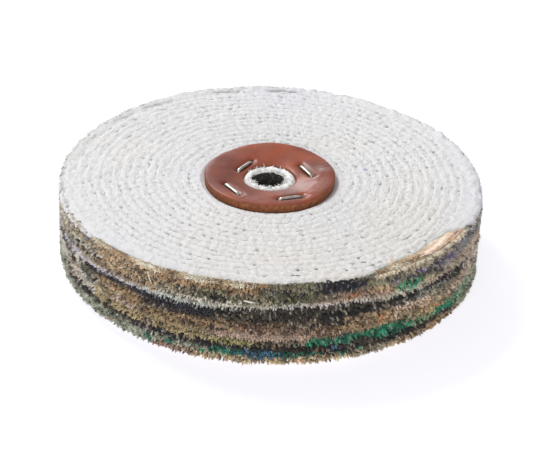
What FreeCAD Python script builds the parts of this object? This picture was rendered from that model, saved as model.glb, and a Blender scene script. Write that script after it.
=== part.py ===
# Spiral-sewn cloth polishing wheel with stapled leather centres.
# +Z is the spindle axis; the origin is the bore centre at mid thickness.
# Every cloth layer, sewing thread, leather washer and staple is its own solid.
import math
import os

import FreeCAD, Part

V = FreeCAD.Vector

# --- wheel ---------------------------------------------------------------
WHEEL_R = 100.0          # nominal radius of the cloth rim (8 in wheel)
CLOTH_T = 40.0           # thickness of the three sewn sections together
BORE_R = 8.0             # bore for a 5/8 in (15.875 mm) spindle
SECTIONS = ("upper", "middle", "lower")
SECTION_T = CLOTH_T / 3.0
COVER_T = 1.0            # white cover cloth on each face of a section
RAG_LAYERS = 4           # layers of rag cloth between the covers
RAG_T = (SECTION_T - 2.0 * COVER_T) / RAG_LAYERS

# cut edge of each layer: mean radius, from the top of a section down
LAYER_R = {
    "upper": (98.9, 99.3, 99.0, 99.4, 98.9, 99.1),
    "middle": (99.2, 99.0, 99.4, 98.8, 99.3, 99.0),
    "lower": (98.8, 99.4, 99.1, 99.3, 98.7, 99.0),
}
EDGE_WAVE = 0.55         # largest departure of a cut edge from its mean radius
EDGE_POINTS = 72

# the uppermost cover is cut short over part of its edge (degrees, radius)
SHORT_EDGE = (
    (-125, 99.0), (-110, 98.0), (-97, 96.9), (-84, 96.5), (-72, 96.6),
    (-64, 96.2), (-58, 93.9), (-50, 92.8), (-43, 93.1), (-36, 93.6),
    (-30, 94.8), (-26, 97.2), (-21, 98.9),
)

# --- spiral sewing --------------------------------------------------------
ROW_PITCH = 4.2          # distance between rows of sewing
ROW_START_R = 36.0       # first half turn
ROW_HALF_TURNS = 27
ROW_CENTRE_Y = 2.0       # the spiral is sewn slightly off the bore
THREAD_W = 0.9
THREAD_T = 0.4
SEAM_W = 1.1             # furrow the thread pulls into the cover
SEAM_T = 0.5

# --- leather centres ------------------------------------------------------
LEATHER_R = 31.25        # 2 1/2 in washer
LEATHER_HOLE_R = 12.7    # 1 in hole
LEATHER_T = 3.5
LEATHER_EDGE = 0.8       # rounding of the worn outer edge
LEATHER_HOLE_EDGE = 0.5

# --- staples --------------------------------------------------------------
WIRE_R = 0.65
WIRE_SLOT_R = 0.85       # hole and groove the wire lies in
STAPLE_W = 12.7          # outside width of the crown (1/2 in)
STAPLE_BEND_R = 1.6
CLINCH_L = 3.2           # straight part of the folded-over leg
# mid point of the crown and its direction in degrees
STAPLES = (
    (-12.2, 10.2, 57.0),
    (-17.6, -15.3, -55.0),
    (10.1, -21.7, 19.0),
    (17.4, 6.6, -61.0),
)

TOP_Z = CLOTH_T / 2.0
BOTTOM_Z = -CLOTH_T / 2.0
LEATHER_TOP_Z = TOP_Z + LEATHER_T
LEATHER_BOTTOM_Z = BOTTOM_Z - LEATHER_T

os.makedirs("parts", exist_ok=True)


def export(shape, name):
    shape.exportStep("parts/%s.step" % name)


# --- cloth ----------------------------------------------------------------
def wave(angle, seed):
    total = 0.0
    for k, weight in ((3, 0.34), (5, 0.27), (8, 0.22), (13, 0.17)):
        total += weight * math.cos(k * angle + seed * (1.3 + 0.7 * k))
    return total * EDGE_WAVE


def short_edge_radius(degrees, plain):
    if degrees <= SHORT_EDGE[0][0] or degrees >= SHORT_EDGE[-1][0]:
        return plain
    for (a0, r0), (a1, r1) in zip(SHORT_EDGE, SHORT_EDGE[1:]):
        if a0 <= degrees <= a1:
            t = (degrees - a0) / float(a1 - a0)
            return r0 + (r1 - r0) * (3 * t * t - 2 * t * t * t)
    return plain


def cloth_blank(z0, thickness, mean_r, seed, short=False):
    count = 120 if short else EDGE_POINTS
    points = []
    for i in range(count):
        a = 2.0 * math.pi * i / count
        r = mean_r + wave(a, seed)
        if short:
            degrees = math.degrees(a)
            if degrees > 180.0:
                degrees -= 360.0
            r = min(r, short_edge_radius(degrees, r))
        points.append(V(r * math.cos(a), r * math.sin(a), z0))
    curve = Part.BSplineCurve()
    curve.interpolate(points, PeriodicFlag=True)
    face = Part.Face(Part.Wire([curve.toShape()]))
    solid = face.extrude(V(0, 0, thickness))
    bore = Part.makeCylinder(BORE_R, thickness + 2.0, V(0, 0, z0 - 1.0))
    return solid.cut(bore)


# --- spiral band: half turns about two centres one half pitch apart --------
def half_turn(index, offset):
    r = ROW_START_R + ROW_PITCH / 2.0 * index + offset
    cx = 0.0 if index % 2 == 0 else ROW_PITCH / 2.0
    return cx, r


def spiral_edges(offset, z):
    edges = []
    for i in range(ROW_HALF_TURNS):
        cx, r = half_turn(i, offset)
        if i % 2 == 0:
            a, m, b = (cx + r, 0.0), (cx, r), (cx - r, 0.0)
        else:
            a, m, b = (cx - r, 0.0), (cx, -r), (cx + r, 0.0)
        pts = [V(p[0], p[1] + ROW_CENTRE_Y, z) for p in (a, m, b)]
        edges.append((Part.Arc(*pts).toShape(), pts[0], pts[2]))
    return edges


def spiral_band(width, z0, thickness):
    inner = spiral_edges(-width / 2.0, z0)
    outer = spiral_edges(width / 2.0, z0)
    start = Part.makeLine(inner[0][1], outer[0][1])
    end = Part.makeLine(inner[-1][2], outer[-1][2])
    edges = [e for e, _, _ in inner] + [e for e, _, _ in outer] + [start, end]
    wire = Part.Wire(Part.__sortEdges__(edges))
    return Part.Face(wire).extrude(V(0, 0, thickness))


# --- staples --------------------------------------------------------------
def staple_path(extra=0.0):
    half = STAPLE_W / 2.0 - WIRE_R
    zt = LEATHER_TOP_Z - WIRE_R
    zb = LEATHER_BOTTOM_Z + WIRE_R
    b = STAPLE_BEND_R
    k = b * (1.0 - math.sqrt(0.5))
    tip = half - b - CLINCH_L - extra
    p = [
        V(-tip, 0, zb), V(-half + b, 0, zb), V(-half, 0, zb + b),
        V(-half, 0, zt - b), V(-half + b, 0, zt), V(half - b, 0, zt),
        V(half, 0, zt - b), V(half, 0, zb + b), V(half - b, 0, zb),
        V(tip, 0, zb),
    ]
    return Part.Wire([
        Part.makeLine(p[0], p[1]),
        Part.Arc(p[1], V(-half + k, 0, zb + k), p[2]).toShape(),
        Part.makeLine(p[2], p[3]),
        Part.Arc(p[3], V(-half + k, 0, zt - k), p[4]).toShape(),
        Part.makeLine(p[4], p[5]),
        Part.Arc(p[5], V(half - k, 0, zt - k), p[6]).toShape(),
        Part.makeLine(p[6], p[7]),
        Part.Arc(p[7], V(half - k, 0, zb + k), p[8]).toShape(),
        Part.makeLine(p[8], p[9]),
    ])


def wire_solid(radius, extra=0.0):
    path = staple_path(extra)
    start = path.Edges[0].Vertexes[0].Point
    ends = [v.Point for v in path.Edges[0].Vertexes]
    tip = min(ends, key=lambda q: abs(q.x))
    profile = Part.Wire([Part.makeCircle(radius, tip, V(1, 0, 0))])
    return path.makePipeShell([profile], True, False)


def place(shape, staple):
    x, y, degrees = staple
    moved = shape.copy()
    moved.rotate(V(0, 0, 0), V(0, 0, 1), degrees)
    moved.translate(V(x, y, 0))
    return moved


def slot_box(length, z0, z1):
    return Part.makeBox(length, 2.0 * WIRE_SLOT_R, z1 - z0,
                        V(-length / 2.0, -WIRE_SLOT_R, z0))


staple = wire_solid(WIRE_R)
slot = wire_solid(WIRE_SLOT_R, 0.3)
crown_open = slot_box(STAPLE_W - 2.0 * WIRE_R, LEATHER_TOP_Z - WIRE_R,
                      LEATHER_TOP_Z + 1.0)
clinch_open = slot_box(STAPLE_W - 2.0 * WIRE_R, LEATHER_BOTTOM_Z - 1.0,
                       LEATHER_BOTTOM_Z + WIRE_R)
half = STAPLE_W / 2.0 - WIRE_R
leg_holes = [Part.makeCylinder(WIRE_SLOT_R, CLOTH_T + 2.0, V(s * half, 0, BOTTOM_Z - 1.0))
             for s in (-1, 1)]

legs = Part.makeCompound([place(h, s) for s in STAPLES for h in leg_holes])


# --- build the three sewn sections ----------------------------------------
seed = 1
z_top = TOP_Z
for section in SECTIONS:
    radii = LAYER_R[section]
    # top cover with the needle thread lying in its furrow
    z0 = z_top - COVER_T
    cover = cloth_blank(z0, COVER_T, radii[0], seed, short=(section == "upper"))
    cover = cover.cut(spiral_band(SEAM_W, z_top - SEAM_T, SEAM_T + 1.0))
    export(cover.cut(legs), "%s_section_top_cover" % section)
    export(spiral_band(THREAD_W, z_top - SEAM_T, THREAD_T),
           "%s_section_needle_thread" % section)
    seed += 1
    for n in range(RAG_LAYERS):
        z0 -= RAG_T
        layer = cloth_blank(z0, RAG_T, radii[n + 1], seed)
        export(layer.cut(legs), "%s_section_rag_layer_%d" % (section, n + 1))
        seed += 1
    # bottom cover with the bobbin thread lying in its furrow
    z0 -= COVER_T
    cover = cloth_blank(z0, COVER_T, radii[-1], seed)
    cover = cover.cut(spiral_band(SEAM_W, z0 - 1.0, SEAM_T + 1.0))
    export(cover.cut(legs), "%s_section_bottom_cover" % section)
    export(spiral_band(THREAD_W, z0 + SEAM_T - THREAD_T, THREAD_T),
           "%s_section_bobbin_thread" % section)
    seed += 1
    z_top = z0


# --- leather washers ------------------------------------------------------
def leather(z0, outer_face_z):
    disc = Part.makeCylinder(LEATHER_R, LEATHER_T, V(0, 0, z0))
    disc = disc.cut(Part.makeCylinder(LEATHER_HOLE_R, LEATHER_T + 2.0,
                                      V(0, 0, z0 - 1.0)))
    rim, eye = [], []
    for edge in disc.Edges:
        if isinstance(edge.Curve, Part.Circle) and abs(edge.CenterOfMass.z - outer_face_z) < 1e-6:
            if abs(edge.Curve.Radius - LEATHER_R) < 1e-6:
                rim.append(edge)
            elif abs(edge.Curve.Radius - LEATHER_HOLE_R) < 1e-6:
                eye.append(edge)
    disc = disc.makeFillet(LEATHER_EDGE, rim)
    eye = [e for e in disc.Edges
           if isinstance(e.Curve, Part.Circle)
           and abs(e.Curve.Radius - LEATHER_HOLE_R) < 1e-6
           and abs(e.CenterOfMass.z - outer_face_z) < 1e-6]
    return disc.makeFillet(LEATHER_HOLE_EDGE, eye)


top = leather(TOP_Z, LEATHER_TOP_Z)
bottom = leather(LEATHER_BOTTOM_Z, LEATHER_BOTTOM_Z)
for s in STAPLES:
    for cutter in (slot, crown_open):
        top = top.cut(place(cutter, s))
    for cutter in (slot, clinch_open):
        bottom = bottom.cut(place(cutter, s))
export(top, "top_leather_washer")
export(bottom, "bottom_leather_washer")

for n, s in enumerate(STAPLES, 1):
    export(place(staple, s), "wire_staple_%d" % n)
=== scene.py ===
import math

import bpy
import numpy as np
from mathutils import Matrix


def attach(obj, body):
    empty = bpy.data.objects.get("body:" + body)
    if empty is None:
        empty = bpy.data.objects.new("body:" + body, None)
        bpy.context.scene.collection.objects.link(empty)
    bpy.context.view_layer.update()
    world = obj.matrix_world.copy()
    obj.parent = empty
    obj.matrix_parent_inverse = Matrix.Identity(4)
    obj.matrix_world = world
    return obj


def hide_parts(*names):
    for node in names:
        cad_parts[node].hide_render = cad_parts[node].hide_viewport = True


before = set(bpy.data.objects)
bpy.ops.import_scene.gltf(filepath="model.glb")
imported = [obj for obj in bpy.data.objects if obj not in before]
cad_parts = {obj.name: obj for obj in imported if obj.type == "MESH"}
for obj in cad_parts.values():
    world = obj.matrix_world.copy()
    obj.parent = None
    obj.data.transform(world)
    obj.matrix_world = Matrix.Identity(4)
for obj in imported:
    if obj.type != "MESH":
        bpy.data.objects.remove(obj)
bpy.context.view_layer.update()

MM = 0.001
TAU = 2.0 * math.pi

# ---------------------------------------------------------------- wheel, mm
TOP, BOTTOM = 20.0, -20.0
BORE_R = 8.0
LEATHER_R, LEATHER_EYE_R = 31.1, 12.6
SPIRAL_Y = 2.0            # centre of the sewing
ROW0, PITCH, TURNS = 36.0, 4.2, 13.5
STITCH = 4.3
COVER_T = 1.0
RAG_T = (40.0 / 3.0 - 2.0) / 4.0
RIM_R = 97.7              # where the tufts are rooted
STAPLES = ((-12.2, 10.2, 57.0), (-17.6, -15.3, -55.0), (10.1, -21.7, 19.0), (17.4, 6.6, -61.0))


# ---------------------------------------------------------------- small maths
def lin(c):
    c = np.asarray(c, float) / 255.0
    return np.where(c <= 0.04045, c / 12.92, ((c + 0.055) / 1.055) ** 2.4)


def smooth(a, b, x):
    t = np.clip((np.asarray(x, float) - a) / (b - a), 0.0, 1.0)
    return t * t * (3.0 - 2.0 * t)


def hash01(ix, iy, iz, seed):
    with np.errstate(over="ignore"):
        h = (ix.astype(np.int64).astype(np.uint32) * np.uint32(374761393)
             + iy.astype(np.int64).astype(np.uint32) * np.uint32(668265263)
             + iz.astype(np.int64).astype(np.uint32) * np.uint32(2246822519)
             + np.uint32(seed * 3266489917 & 0xFFFFFFFF))
        h = (h ^ (h >> np.uint32(15))) * np.uint32(2246822519)
        h = (h ^ (h >> np.uint32(13))) * np.uint32(3266489917)
        h = h ^ (h >> np.uint32(16))
    return (h & np.uint32(0xFFFFFF)).astype(float) / float(0xFFFFFF)


def noise(x, y, z, seed=0):
    """Value noise from -1 to 1 with cells of size 1."""
    x, y, z = np.broadcast_arrays(np.asarray(x, float), np.asarray(y, float), np.asarray(z, float))
    fx, fy, fz = np.floor(x), np.floor(y), np.floor(z)
    u, v, w = x - fx, y - fy, z - fz
    u, v, w = u * u * (3 - 2 * u), v * v * (3 - 2 * v), w * w * (3 - 2 * w)
    out = 0.0
    for i in (0, 1):
        for j in (0, 1):
            for k in (0, 1):
                out = out + (hash01(fx + i, fy + j, fz + k, seed)
                             * (u if i else 1 - u) * (v if j else 1 - v) * (w if k else 1 - w))
    return 2.0 * out - 1.0


def fbm(x, y, z, seed=0, octaves=3, gain=0.5):
    out, amp, total, s = 0.0, 1.0, 0.0, 1.0
    for o in range(octaves):
        out = out + amp * noise(x * s, y * s, z * s, seed + 17 * o)
        total += amp
        amp *= gain
        s *= 2.03
    return out / total


def ring_table(degrees, points):
    """Smooth closed curve through (degrees, value) points."""
    a = np.array([p[0] for p in points], float)
    v = np.array([p[1] for p in points], float)
    a = np.concatenate([a - 360, a, a + 360])
    v = np.concatenate([v, v, v])
    d = (np.asarray(degrees, float) + 180.0) % 360.0 - 180.0
    i = np.clip(np.searchsorted(a, d, side="right") - 1, 0, len(a) - 2)
    t = (d - a[i]) / (a[i + 1] - a[i])
    t = t * t * (3 - 2 * t)
    return v[i] + (v[i + 1] - v[i]) * t


# ---------------------------------------------------------------- mesh makers
def new_mesh(name, verts_mm, quads=None, tris=None, tint=None, extra=None, shade_smooth=True):
    verts = np.asarray(verts_mm, np.float32) * MM
    parts, totals = [], []
    if quads is not None and len(quads):
        q = np.asarray(quads, np.int32)
        parts.append(q.ravel())
        totals.append(np.full(len(q), 4, np.int32))
    if tris is not None and len(tris):
        t = np.asarray(tris, np.int32)
        parts.append(t.ravel())
        totals.append(np.full(len(t), 3, np.int32))
    loops = np.concatenate(parts)
    totals = np.concatenate(totals)
    starts = np.concatenate([[0], np.cumsum(totals)[:-1]]).astype(np.int32)
    me = bpy.data.meshes.new(name)
    me.vertices.add(len(verts))
    me.vertices.foreach_set("co", verts.ravel())
    me.loops.add(len(loops))
    me.loops.foreach_set("vertex_index", loops)
    me.polygons.add(len(totals))
    me.polygons.foreach_set("loop_start", starts)
    me.update(calc_edges=True)
    me.validate()
    if tint is not None:
        attr = me.color_attributes.new(name="tint", type="FLOAT_COLOR", domain="POINT")
        rgba = np.ones((len(verts), 4), np.float32)
        rgba[:, :3] = tint
        attr.data.foreach_set("color", rgba.ravel())
    for key, values in (extra or {}).items():
        attr = me.attributes.new(name=key, type="FLOAT", domain="POINT")
        attr.data.foreach_set("value", np.asarray(values, np.float32).ravel())
    if shade_smooth:
        me.polygons.foreach_set("use_smooth", np.ones(len(totals), bool))
    me.update()
    ob = bpy.data.objects.new(name, me)
    bpy.context.scene.collection.objects.link(ob)
    return ob


def grid_quads(rings, columns, flip=False, closed=False):
    """Quads of rings x columns vertices, columns going round."""
    i = np.arange(rings if closed else rings - 1)
    j = np.arange(columns)
    a = (i[:, None] * columns + j[None, :]).ravel()
    b = (i[:, None] * columns + (j[None, :] + 1) % columns).ravel()
    nxt = (i + 1) % rings
    c = (nxt[:, None] * columns + (j[None, :] + 1) % columns).ravel()
    d = (nxt[:, None] * columns + j[None, :]).ravel()
    q = np.stack([a, b, c, d], 1)
    return q[:, ::-1] if flip else q


def strands(points, radii, colors, root_shade_tip_light=(0.45, 0.95, 1.12)):
    """Closed tapered fibres along points (n, 3, 3) with radii (n, 3); the tint is painted darker at the root, as shade
    between the fibres, and lighter at the tip, as painted light.
    """
    n, k, _ = points.shape
    d = points[:, -1] - points[:, 0]
    d /= np.linalg.norm(d, axis=1, keepdims=True) + 1e-9
    ref = np.where(np.abs(d[:, 2:3]) > 0.9, [[1.0, 0, 0]], [[0, 0, 1.0]])
    u = np.cross(d, ref)
    u /= np.linalg.norm(u, axis=1, keepdims=True) + 1e-9
    w = np.cross(d, u)
    ang = np.arange(3) * TAU / 3
    off = (u[:, None, None, :] * np.cos(ang)[None, None, :, None]
           + w[:, None, None, :] * np.sin(ang)[None, None, :, None])
    ring = points[:, :-1, None, :] + off * radii[:, :-1, None, None]
    verts = np.concatenate([ring.reshape(n, -1, 3), points[:, -1:, :]], 1).reshape(-1, 3)
    base = (np.arange(n) * 7)[:, None]
    quads, tris = [], [base + np.array([[0, 1, 2]])]
    for s in range(3):
        s2 = (s + 1) % 3
        quads.append(base + np.array([[s, 3 + s, 3 + s2, s2]]))
        tris.append(base + np.array([[3 + s, 6, 3 + s2]]))
    # painted shade at the root ring, painted light at the tip
    shade = np.array([root_shade_tip_light[0]] * 3 + [root_shade_tip_light[1]] * 3 + [root_shade_tip_light[2]])
    tint = (colors[:, None, :] * shade[None, :, None]).reshape(-1, 3)
    return verts, np.concatenate(quads), np.concatenate(tris), np.clip(tint, 0.002, 0.95)


def merge(parts):
    vs, qs, ts, cs, n = [], [], [], [], 0
    for v, q, t, c in parts:
        vs.append(v)
        cs.append(c)
        if q is not None and len(q):
            qs.append(q + n)
        if t is not None and len(t):
            ts.append(t + n)
        n += len(v)
    return (np.concatenate(vs), np.concatenate(qs) if qs else None,
            np.concatenate(ts) if ts else None, np.concatenate(cs))


# ---------------------------------------------------------------- materials
def node(nt, kind, at=(0, 0), **values):
    n = nt.nodes.new(kind)
    n.location = at
    for key, value in values.items():
        if hasattr(n, key):
            setattr(n, key, value)
        else:
            n.inputs[key.replace("_", " ")].default_value = value
    return n


def material(name):
    m = bpy.data.materials.new(name)
    m.use_nodes = True
    nt = m.node_tree
    return m, nt, nt.nodes["Principled BSDF"]


def mix_color(nt, mode, fac, a, b):
    n = nt.nodes.new("ShaderNodeMix")
    n.data_type = "RGBA"
    n.blend_type = mode
    n.clamp_result = False
    for sock, value in ((n.inputs[0], fac), (n.inputs[6], a), (n.inputs[7], b)):
        if hasattr(value, "is_linked") or hasattr(value, "links"):
            nt.links.new(value, sock)
        elif isinstance(value, (int, float)):
            sock.default_value = value
        else:
            sock.default_value = (*value, 1.0)
    return n.outputs[2]


def noise_tex(nt, coord, scale, detail=3.0, rough=0.55, distortion=0.0):
    n = nt.nodes.new("ShaderNodeTexNoise")
    n.inputs["Scale"].default_value = scale
    n.inputs["Detail"].default_value = detail
    n.inputs["Roughness"].default_value = rough
    n.inputs["Distortion"].default_value = distortion
    nt.links.new(coord, n.inputs["Vector"])
    return n


def ramp(nt, fac, stops):
    n = nt.nodes.new("ShaderNodeValToRGB")
    e = n.color_ramp.elements
    while len(e) < len(stops):
        e.new(0.5)
    for i, (pos, col) in enumerate(stops):
        e[i].position = pos
        e[i].color = (*col, 1.0) if len(col) == 3 else col
    nt.links.new(fac, n.inputs["Fac"])
    return n.outputs["Color"]


def bump(nt, height, strength, distance, normal=None):
    n = nt.nodes.new("ShaderNodeBump")
    n.inputs["Strength"].default_value = strength
    n.inputs["Distance"].default_value = distance
    nt.links.new(height, n.inputs["Height"])
    if normal is not None:
        nt.links.new(normal, n.inputs["Normal"])
    return n.outputs["Normal"]


def cloth_material(name, weave=1400.0, sheen=0.25):
    """Cotton: tint from the mesh, faint stains, a plain weave and loose lint."""
    m, nt, bsdf = material(name)
    tc = nt.nodes.new("ShaderNodeTexCoord").outputs["Object"]
    tint = node(nt, "ShaderNodeAttribute", attribute_name="tint").outputs["Color"]
    stain = noise_tex(nt, tc, 26.0, 4.0, 0.6)
    stain_c = ramp(nt, stain.outputs["Fac"], [(0.30, (0.955, 0.96, 1.0)), (0.52, (1.0, 1.0, 1.0)), (0.72, (1.0, 0.985, 0.96))])
    c = mix_color(nt, "MULTIPLY", 0.4, tint, stain_c)
    lint = noise_tex(nt, tc, 900.0, 2.0, 0.6)
    lint_c = ramp(nt, lint.outputs["Fac"], [(0.30, (0.90, 0.90, 0.90)), (0.55, (1.0, 1.0, 1.0))])
    c = mix_color(nt, "MULTIPLY", 0.8, c, lint_c)
    nt.links.new(c, bsdf.inputs["Base Color"])
    # plain weave: two crossed sets of threads
    wave = []
    for axis in ("X", "Y"):
        w = nt.nodes.new("ShaderNodeTexWave")
        w.wave_type = "BANDS"
        w.bands_direction = axis
        w.inputs["Scale"].default_value = weave / 2.0
        w.inputs["Distortion"].default_value = 1.2
        w.inputs["Detail"].default_value = 1.0
        nt.links.new(tc, w.inputs["Vector"])
        wave.append(w.outputs["Fac"])
    weave_h = nt.nodes.new("ShaderNodeMath")
    weave_h.operation = "MAXIMUM"
    nt.links.new(wave[0], weave_h.inputs[0])
    nt.links.new(wave[1], weave_h.inputs[1])
    nrm = bump(nt, weave_h.outputs[0], 0.35, 0.00012)
    crumple = noise_tex(nt, tc, 420.0, 3.0, 0.6)
    nrm = bump(nt, crumple.outputs["Fac"], 0.5, 0.0006, nrm)
    nt.links.new(nrm, bsdf.inputs["Normal"])
    rough = ramp(nt, lint.outputs["Fac"], [(0.2, (0.86, 0.86, 0.86)), (0.8, (0.98, 0.98, 0.98))])
    nt.links.new(rough, bsdf.inputs["Roughness"])
    bsdf.inputs["Specular IOR Level"].default_value = 0.15
    bsdf.inputs["Sheen Weight"].default_value = sheen
    bsdf.inputs["Sheen Roughness"].default_value = 0.6
    return m


def fibre_material(name, sheen=0.15, scale=700.0, low=(0.62, 0.62, 0.64), high=(1.22, 1.20, 1.16)):
    """Shoddy wool and cotton rag: each tuft has its own tint, mottled along its length."""
    m, nt, bsdf = material(name)
    tc = nt.nodes.new("ShaderNodeTexCoord").outputs["Object"]
    tint = node(nt, "ShaderNodeAttribute", attribute_name="tint").outputs["Color"]
    spots = noise_tex(nt, tc, scale, 2.0, 0.6)
    spots_c = ramp(nt, spots.outputs["Fac"], [(0.28, low), (0.50, (1.0, 1.0, 1.0)), (0.75, high)])
    c = mix_color(nt, "MULTIPLY", 0.7, tint, spots_c)
    nt.links.new(c, bsdf.inputs["Base Color"])
    rough = ramp(nt, spots.outputs["Fac"], [(0.2, (0.85, 0.85, 0.85)), (0.8, (1.0, 1.0, 1.0))])
    nt.links.new(rough, bsdf.inputs["Roughness"])
    bsdf.inputs["Specular IOR Level"].default_value = 0.1
    bsdf.inputs["Sheen Weight"].default_value = sheen
    bsdf.inputs["Sheen Roughness"].default_value = 0.7
    return m


def thread_material():
    m, nt, bsdf = material("cotton_thread")
    tc = nt.nodes.new("ShaderNodeTexCoord").outputs["Object"]
    tint = node(nt, "ShaderNodeAttribute", attribute_name="tint").outputs["Color"]
    grey = noise_tex(nt, tc, 500.0, 3.0, 0.6)
    grey_c = ramp(nt, grey.outputs["Fac"], [(0.3, (0.88, 0.88, 0.90)), (0.6, (1.0, 1.0, 1.0))])
    nt.links.new(mix_color(nt, "MULTIPLY", 0.8, tint, grey_c), bsdf.inputs["Base Color"])
    twist = nt.nodes.new("ShaderNodeTexWave")
    twist.bands_direction = "DIAGONAL"
    twist.inputs["Scale"].default_value = 900.0
    twist.inputs["Distortion"].default_value = 2.0
    nt.links.new(tc, twist.inputs["Vector"])
    nt.links.new(bump(nt, twist.outputs["Fac"], 0.6, 0.0002), bsdf.inputs["Normal"])
    rough = ramp(nt, grey.outputs["Fac"], [(0.2, (0.75, 0.75, 0.75)), (0.8, (0.92, 0.92, 0.92))])
    nt.links.new(rough, bsdf.inputs["Roughness"])
    bsdf.inputs["Specular IOR Level"].default_value = 0.2
    bsdf.inputs["Sheen Weight"].default_value = 0.2
    return m


def leather_material():
    m, nt, bsdf = material("brown_leather")
    tc = nt.nodes.new("ShaderNodeTexCoord").outputs["Object"]
    tint = node(nt, "ShaderNodeAttribute", attribute_name="tint").outputs["Color"]
    cut = node(nt, "ShaderNodeAttribute", attribute_name="cut").outputs["Fac"]
    mott = noise_tex(nt, tc, 70.0, 5.0, 0.6, 0.4)
    mott_c = ramp(nt, mott.outputs["Fac"], [(0.25, (0.80, 0.76, 0.74)), (0.50, (1.0, 1.0, 1.0)), (0.78, (1.16, 1.10, 1.02))])
    c = mix_color(nt, "MULTIPLY", 0.9, tint, mott_c)
    pores = nt.nodes.new("ShaderNodeTexVoronoi")
    pores.inputs["Scale"].default_value = 900.0
    nt.links.new(tc, pores.inputs["Vector"])
    pore_c = ramp(nt, pores.outputs["Distance"], [(0.0, (0.86, 0.84, 0.82)), (0.35, (1.0, 1.0, 1.0))])
    c = mix_color(nt, "MULTIPLY", 0.5, c, pore_c)
    # fibrous cut edge
    fib = noise_tex(nt, tc, 600.0, 4.0, 0.7)
    fib_c = ramp(nt, fib.outputs["Fac"], [(0.3, tuple(lin((88, 50, 32)))), (0.55, tuple(lin((136, 84, 54)))), (0.8, tuple(lin((172, 118, 80))))])
    c = mix_color(nt, "MIX", cut, c, fib_c)
    nt.links.new(c, bsdf.inputs["Base Color"])
    n1 = bump(nt, pores.outputs["Distance"], 0.25, 0.00015)
    creases = noise_tex(nt, tc, 260.0, 4.0, 0.6)
    n2 = bump(nt, creases.outputs["Fac"], 0.22, 0.0007, n1)
    nt.links.new(n2, bsdf.inputs["Normal"])
    rough = ramp(nt, mott.outputs["Fac"], [(0.25, (0.26, 0.26, 0.26)), (0.75, (0.38, 0.38, 0.38))])
    rough = mix_color(nt, "MIX", cut, rough, (0.85, 0.85, 0.85))
    nt.links.new(rough, bsdf.inputs["Roughness"])
    bsdf.inputs["Specular IOR Level"].default_value = 0.27
    bsdf.inputs["Coat Weight"].default_value = 0.02
    bsdf.inputs["Coat Roughness"].default_value = 0.3
    return m


def wire_material():
    m, nt, bsdf = material("staple_wire")
    tc = nt.nodes.new("ShaderNodeTexCoord").outputs["Object"]
    wear = noise_tex(nt, tc, 500.0, 4.0, 0.6)
    col = ramp(nt, wear.outputs["Fac"], [(0.28, (0.22, 0.20, 0.16)), (0.5, (0.50, 0.48, 0.43)), (0.78, (0.70, 0.69, 0.66))])
    nt.links.new(col, bsdf.inputs["Base Color"])
    rough = ramp(nt, wear.outputs["Fac"], [(0.2, (0.52, 0.52, 0.52)), (0.8, (0.30, 0.30, 0.30))])
    nt.links.new(rough, bsdf.inputs["Roughness"])
    nt.links.new(bump(nt, wear.outputs["Fac"], 0.2, 0.0001), bsdf.inputs["Normal"])
    bsdf.inputs["Metallic"].default_value = 1.0
    return m


M_COVER = cloth_material("white_cotton_cover")
M_RAG = fibre_material("mixed_rag_cloth")
M_LINT = fibre_material("cotton_lint", 0.2, 800.0, (0.88, 0.88, 0.89), (1.06, 1.06, 1.05))
M_THREAD = thread_material()
M_LEATHER = leather_material()
M_WIRE = wire_material()

# ---------------------------------------------------------------- fibre colours (sRGB)
C = {
    "white": (232, 229, 224), "lavender": (226, 219, 230), "mint_white": (218, 226, 216),
    "pale_grey": (204, 200, 190), "pink_beige": (208, 184, 166), "cream_grey": (214, 208, 190),
    "cream": (238, 222, 198), "peach": (240, 204, 172),
    "tan": (190, 166, 134), "orange_tan": (178, 148, 112), "tan_dark": (164, 138, 104),
    "ochre": (182, 164, 124), "fawn": (180, 156, 126), "rust": (184, 126, 88),
    "olive_grey": (142, 136, 112), "olive_dark": (88, 84, 68), "grey_tan": (174, 163, 140),
    "brown_grey": (134, 120, 102), "brown": (130, 104, 82), "violet_brown": (108, 96, 94),
    "pink_brown": (168, 142, 124), "dark_brown": (70, 58, 48), "black": (40, 38, 38),
    "navy": (44, 45, 56), "black_violet": (64, 53, 57), "charcoal": (78, 76, 74),
    "purple_grey": (146, 138, 148), "violet": (118, 104, 166), "blue_grey": (146, 150, 146),
    "grey": (158, 155, 146), "grey_green": (166, 171, 151), "teal": (44, 120, 100),
    "green": (56, 146, 112), "leaf": (126, 156, 122), "blue": (70, 114, 138),
    "lint": (228, 229, 224), "pink_tan": (214, 196, 178), "sand": (212, 190, 156),
    "olive": (156, 152, 104), "moss": (110, 110, 84), "dark_mix": (76, 70, 60),
}

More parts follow.
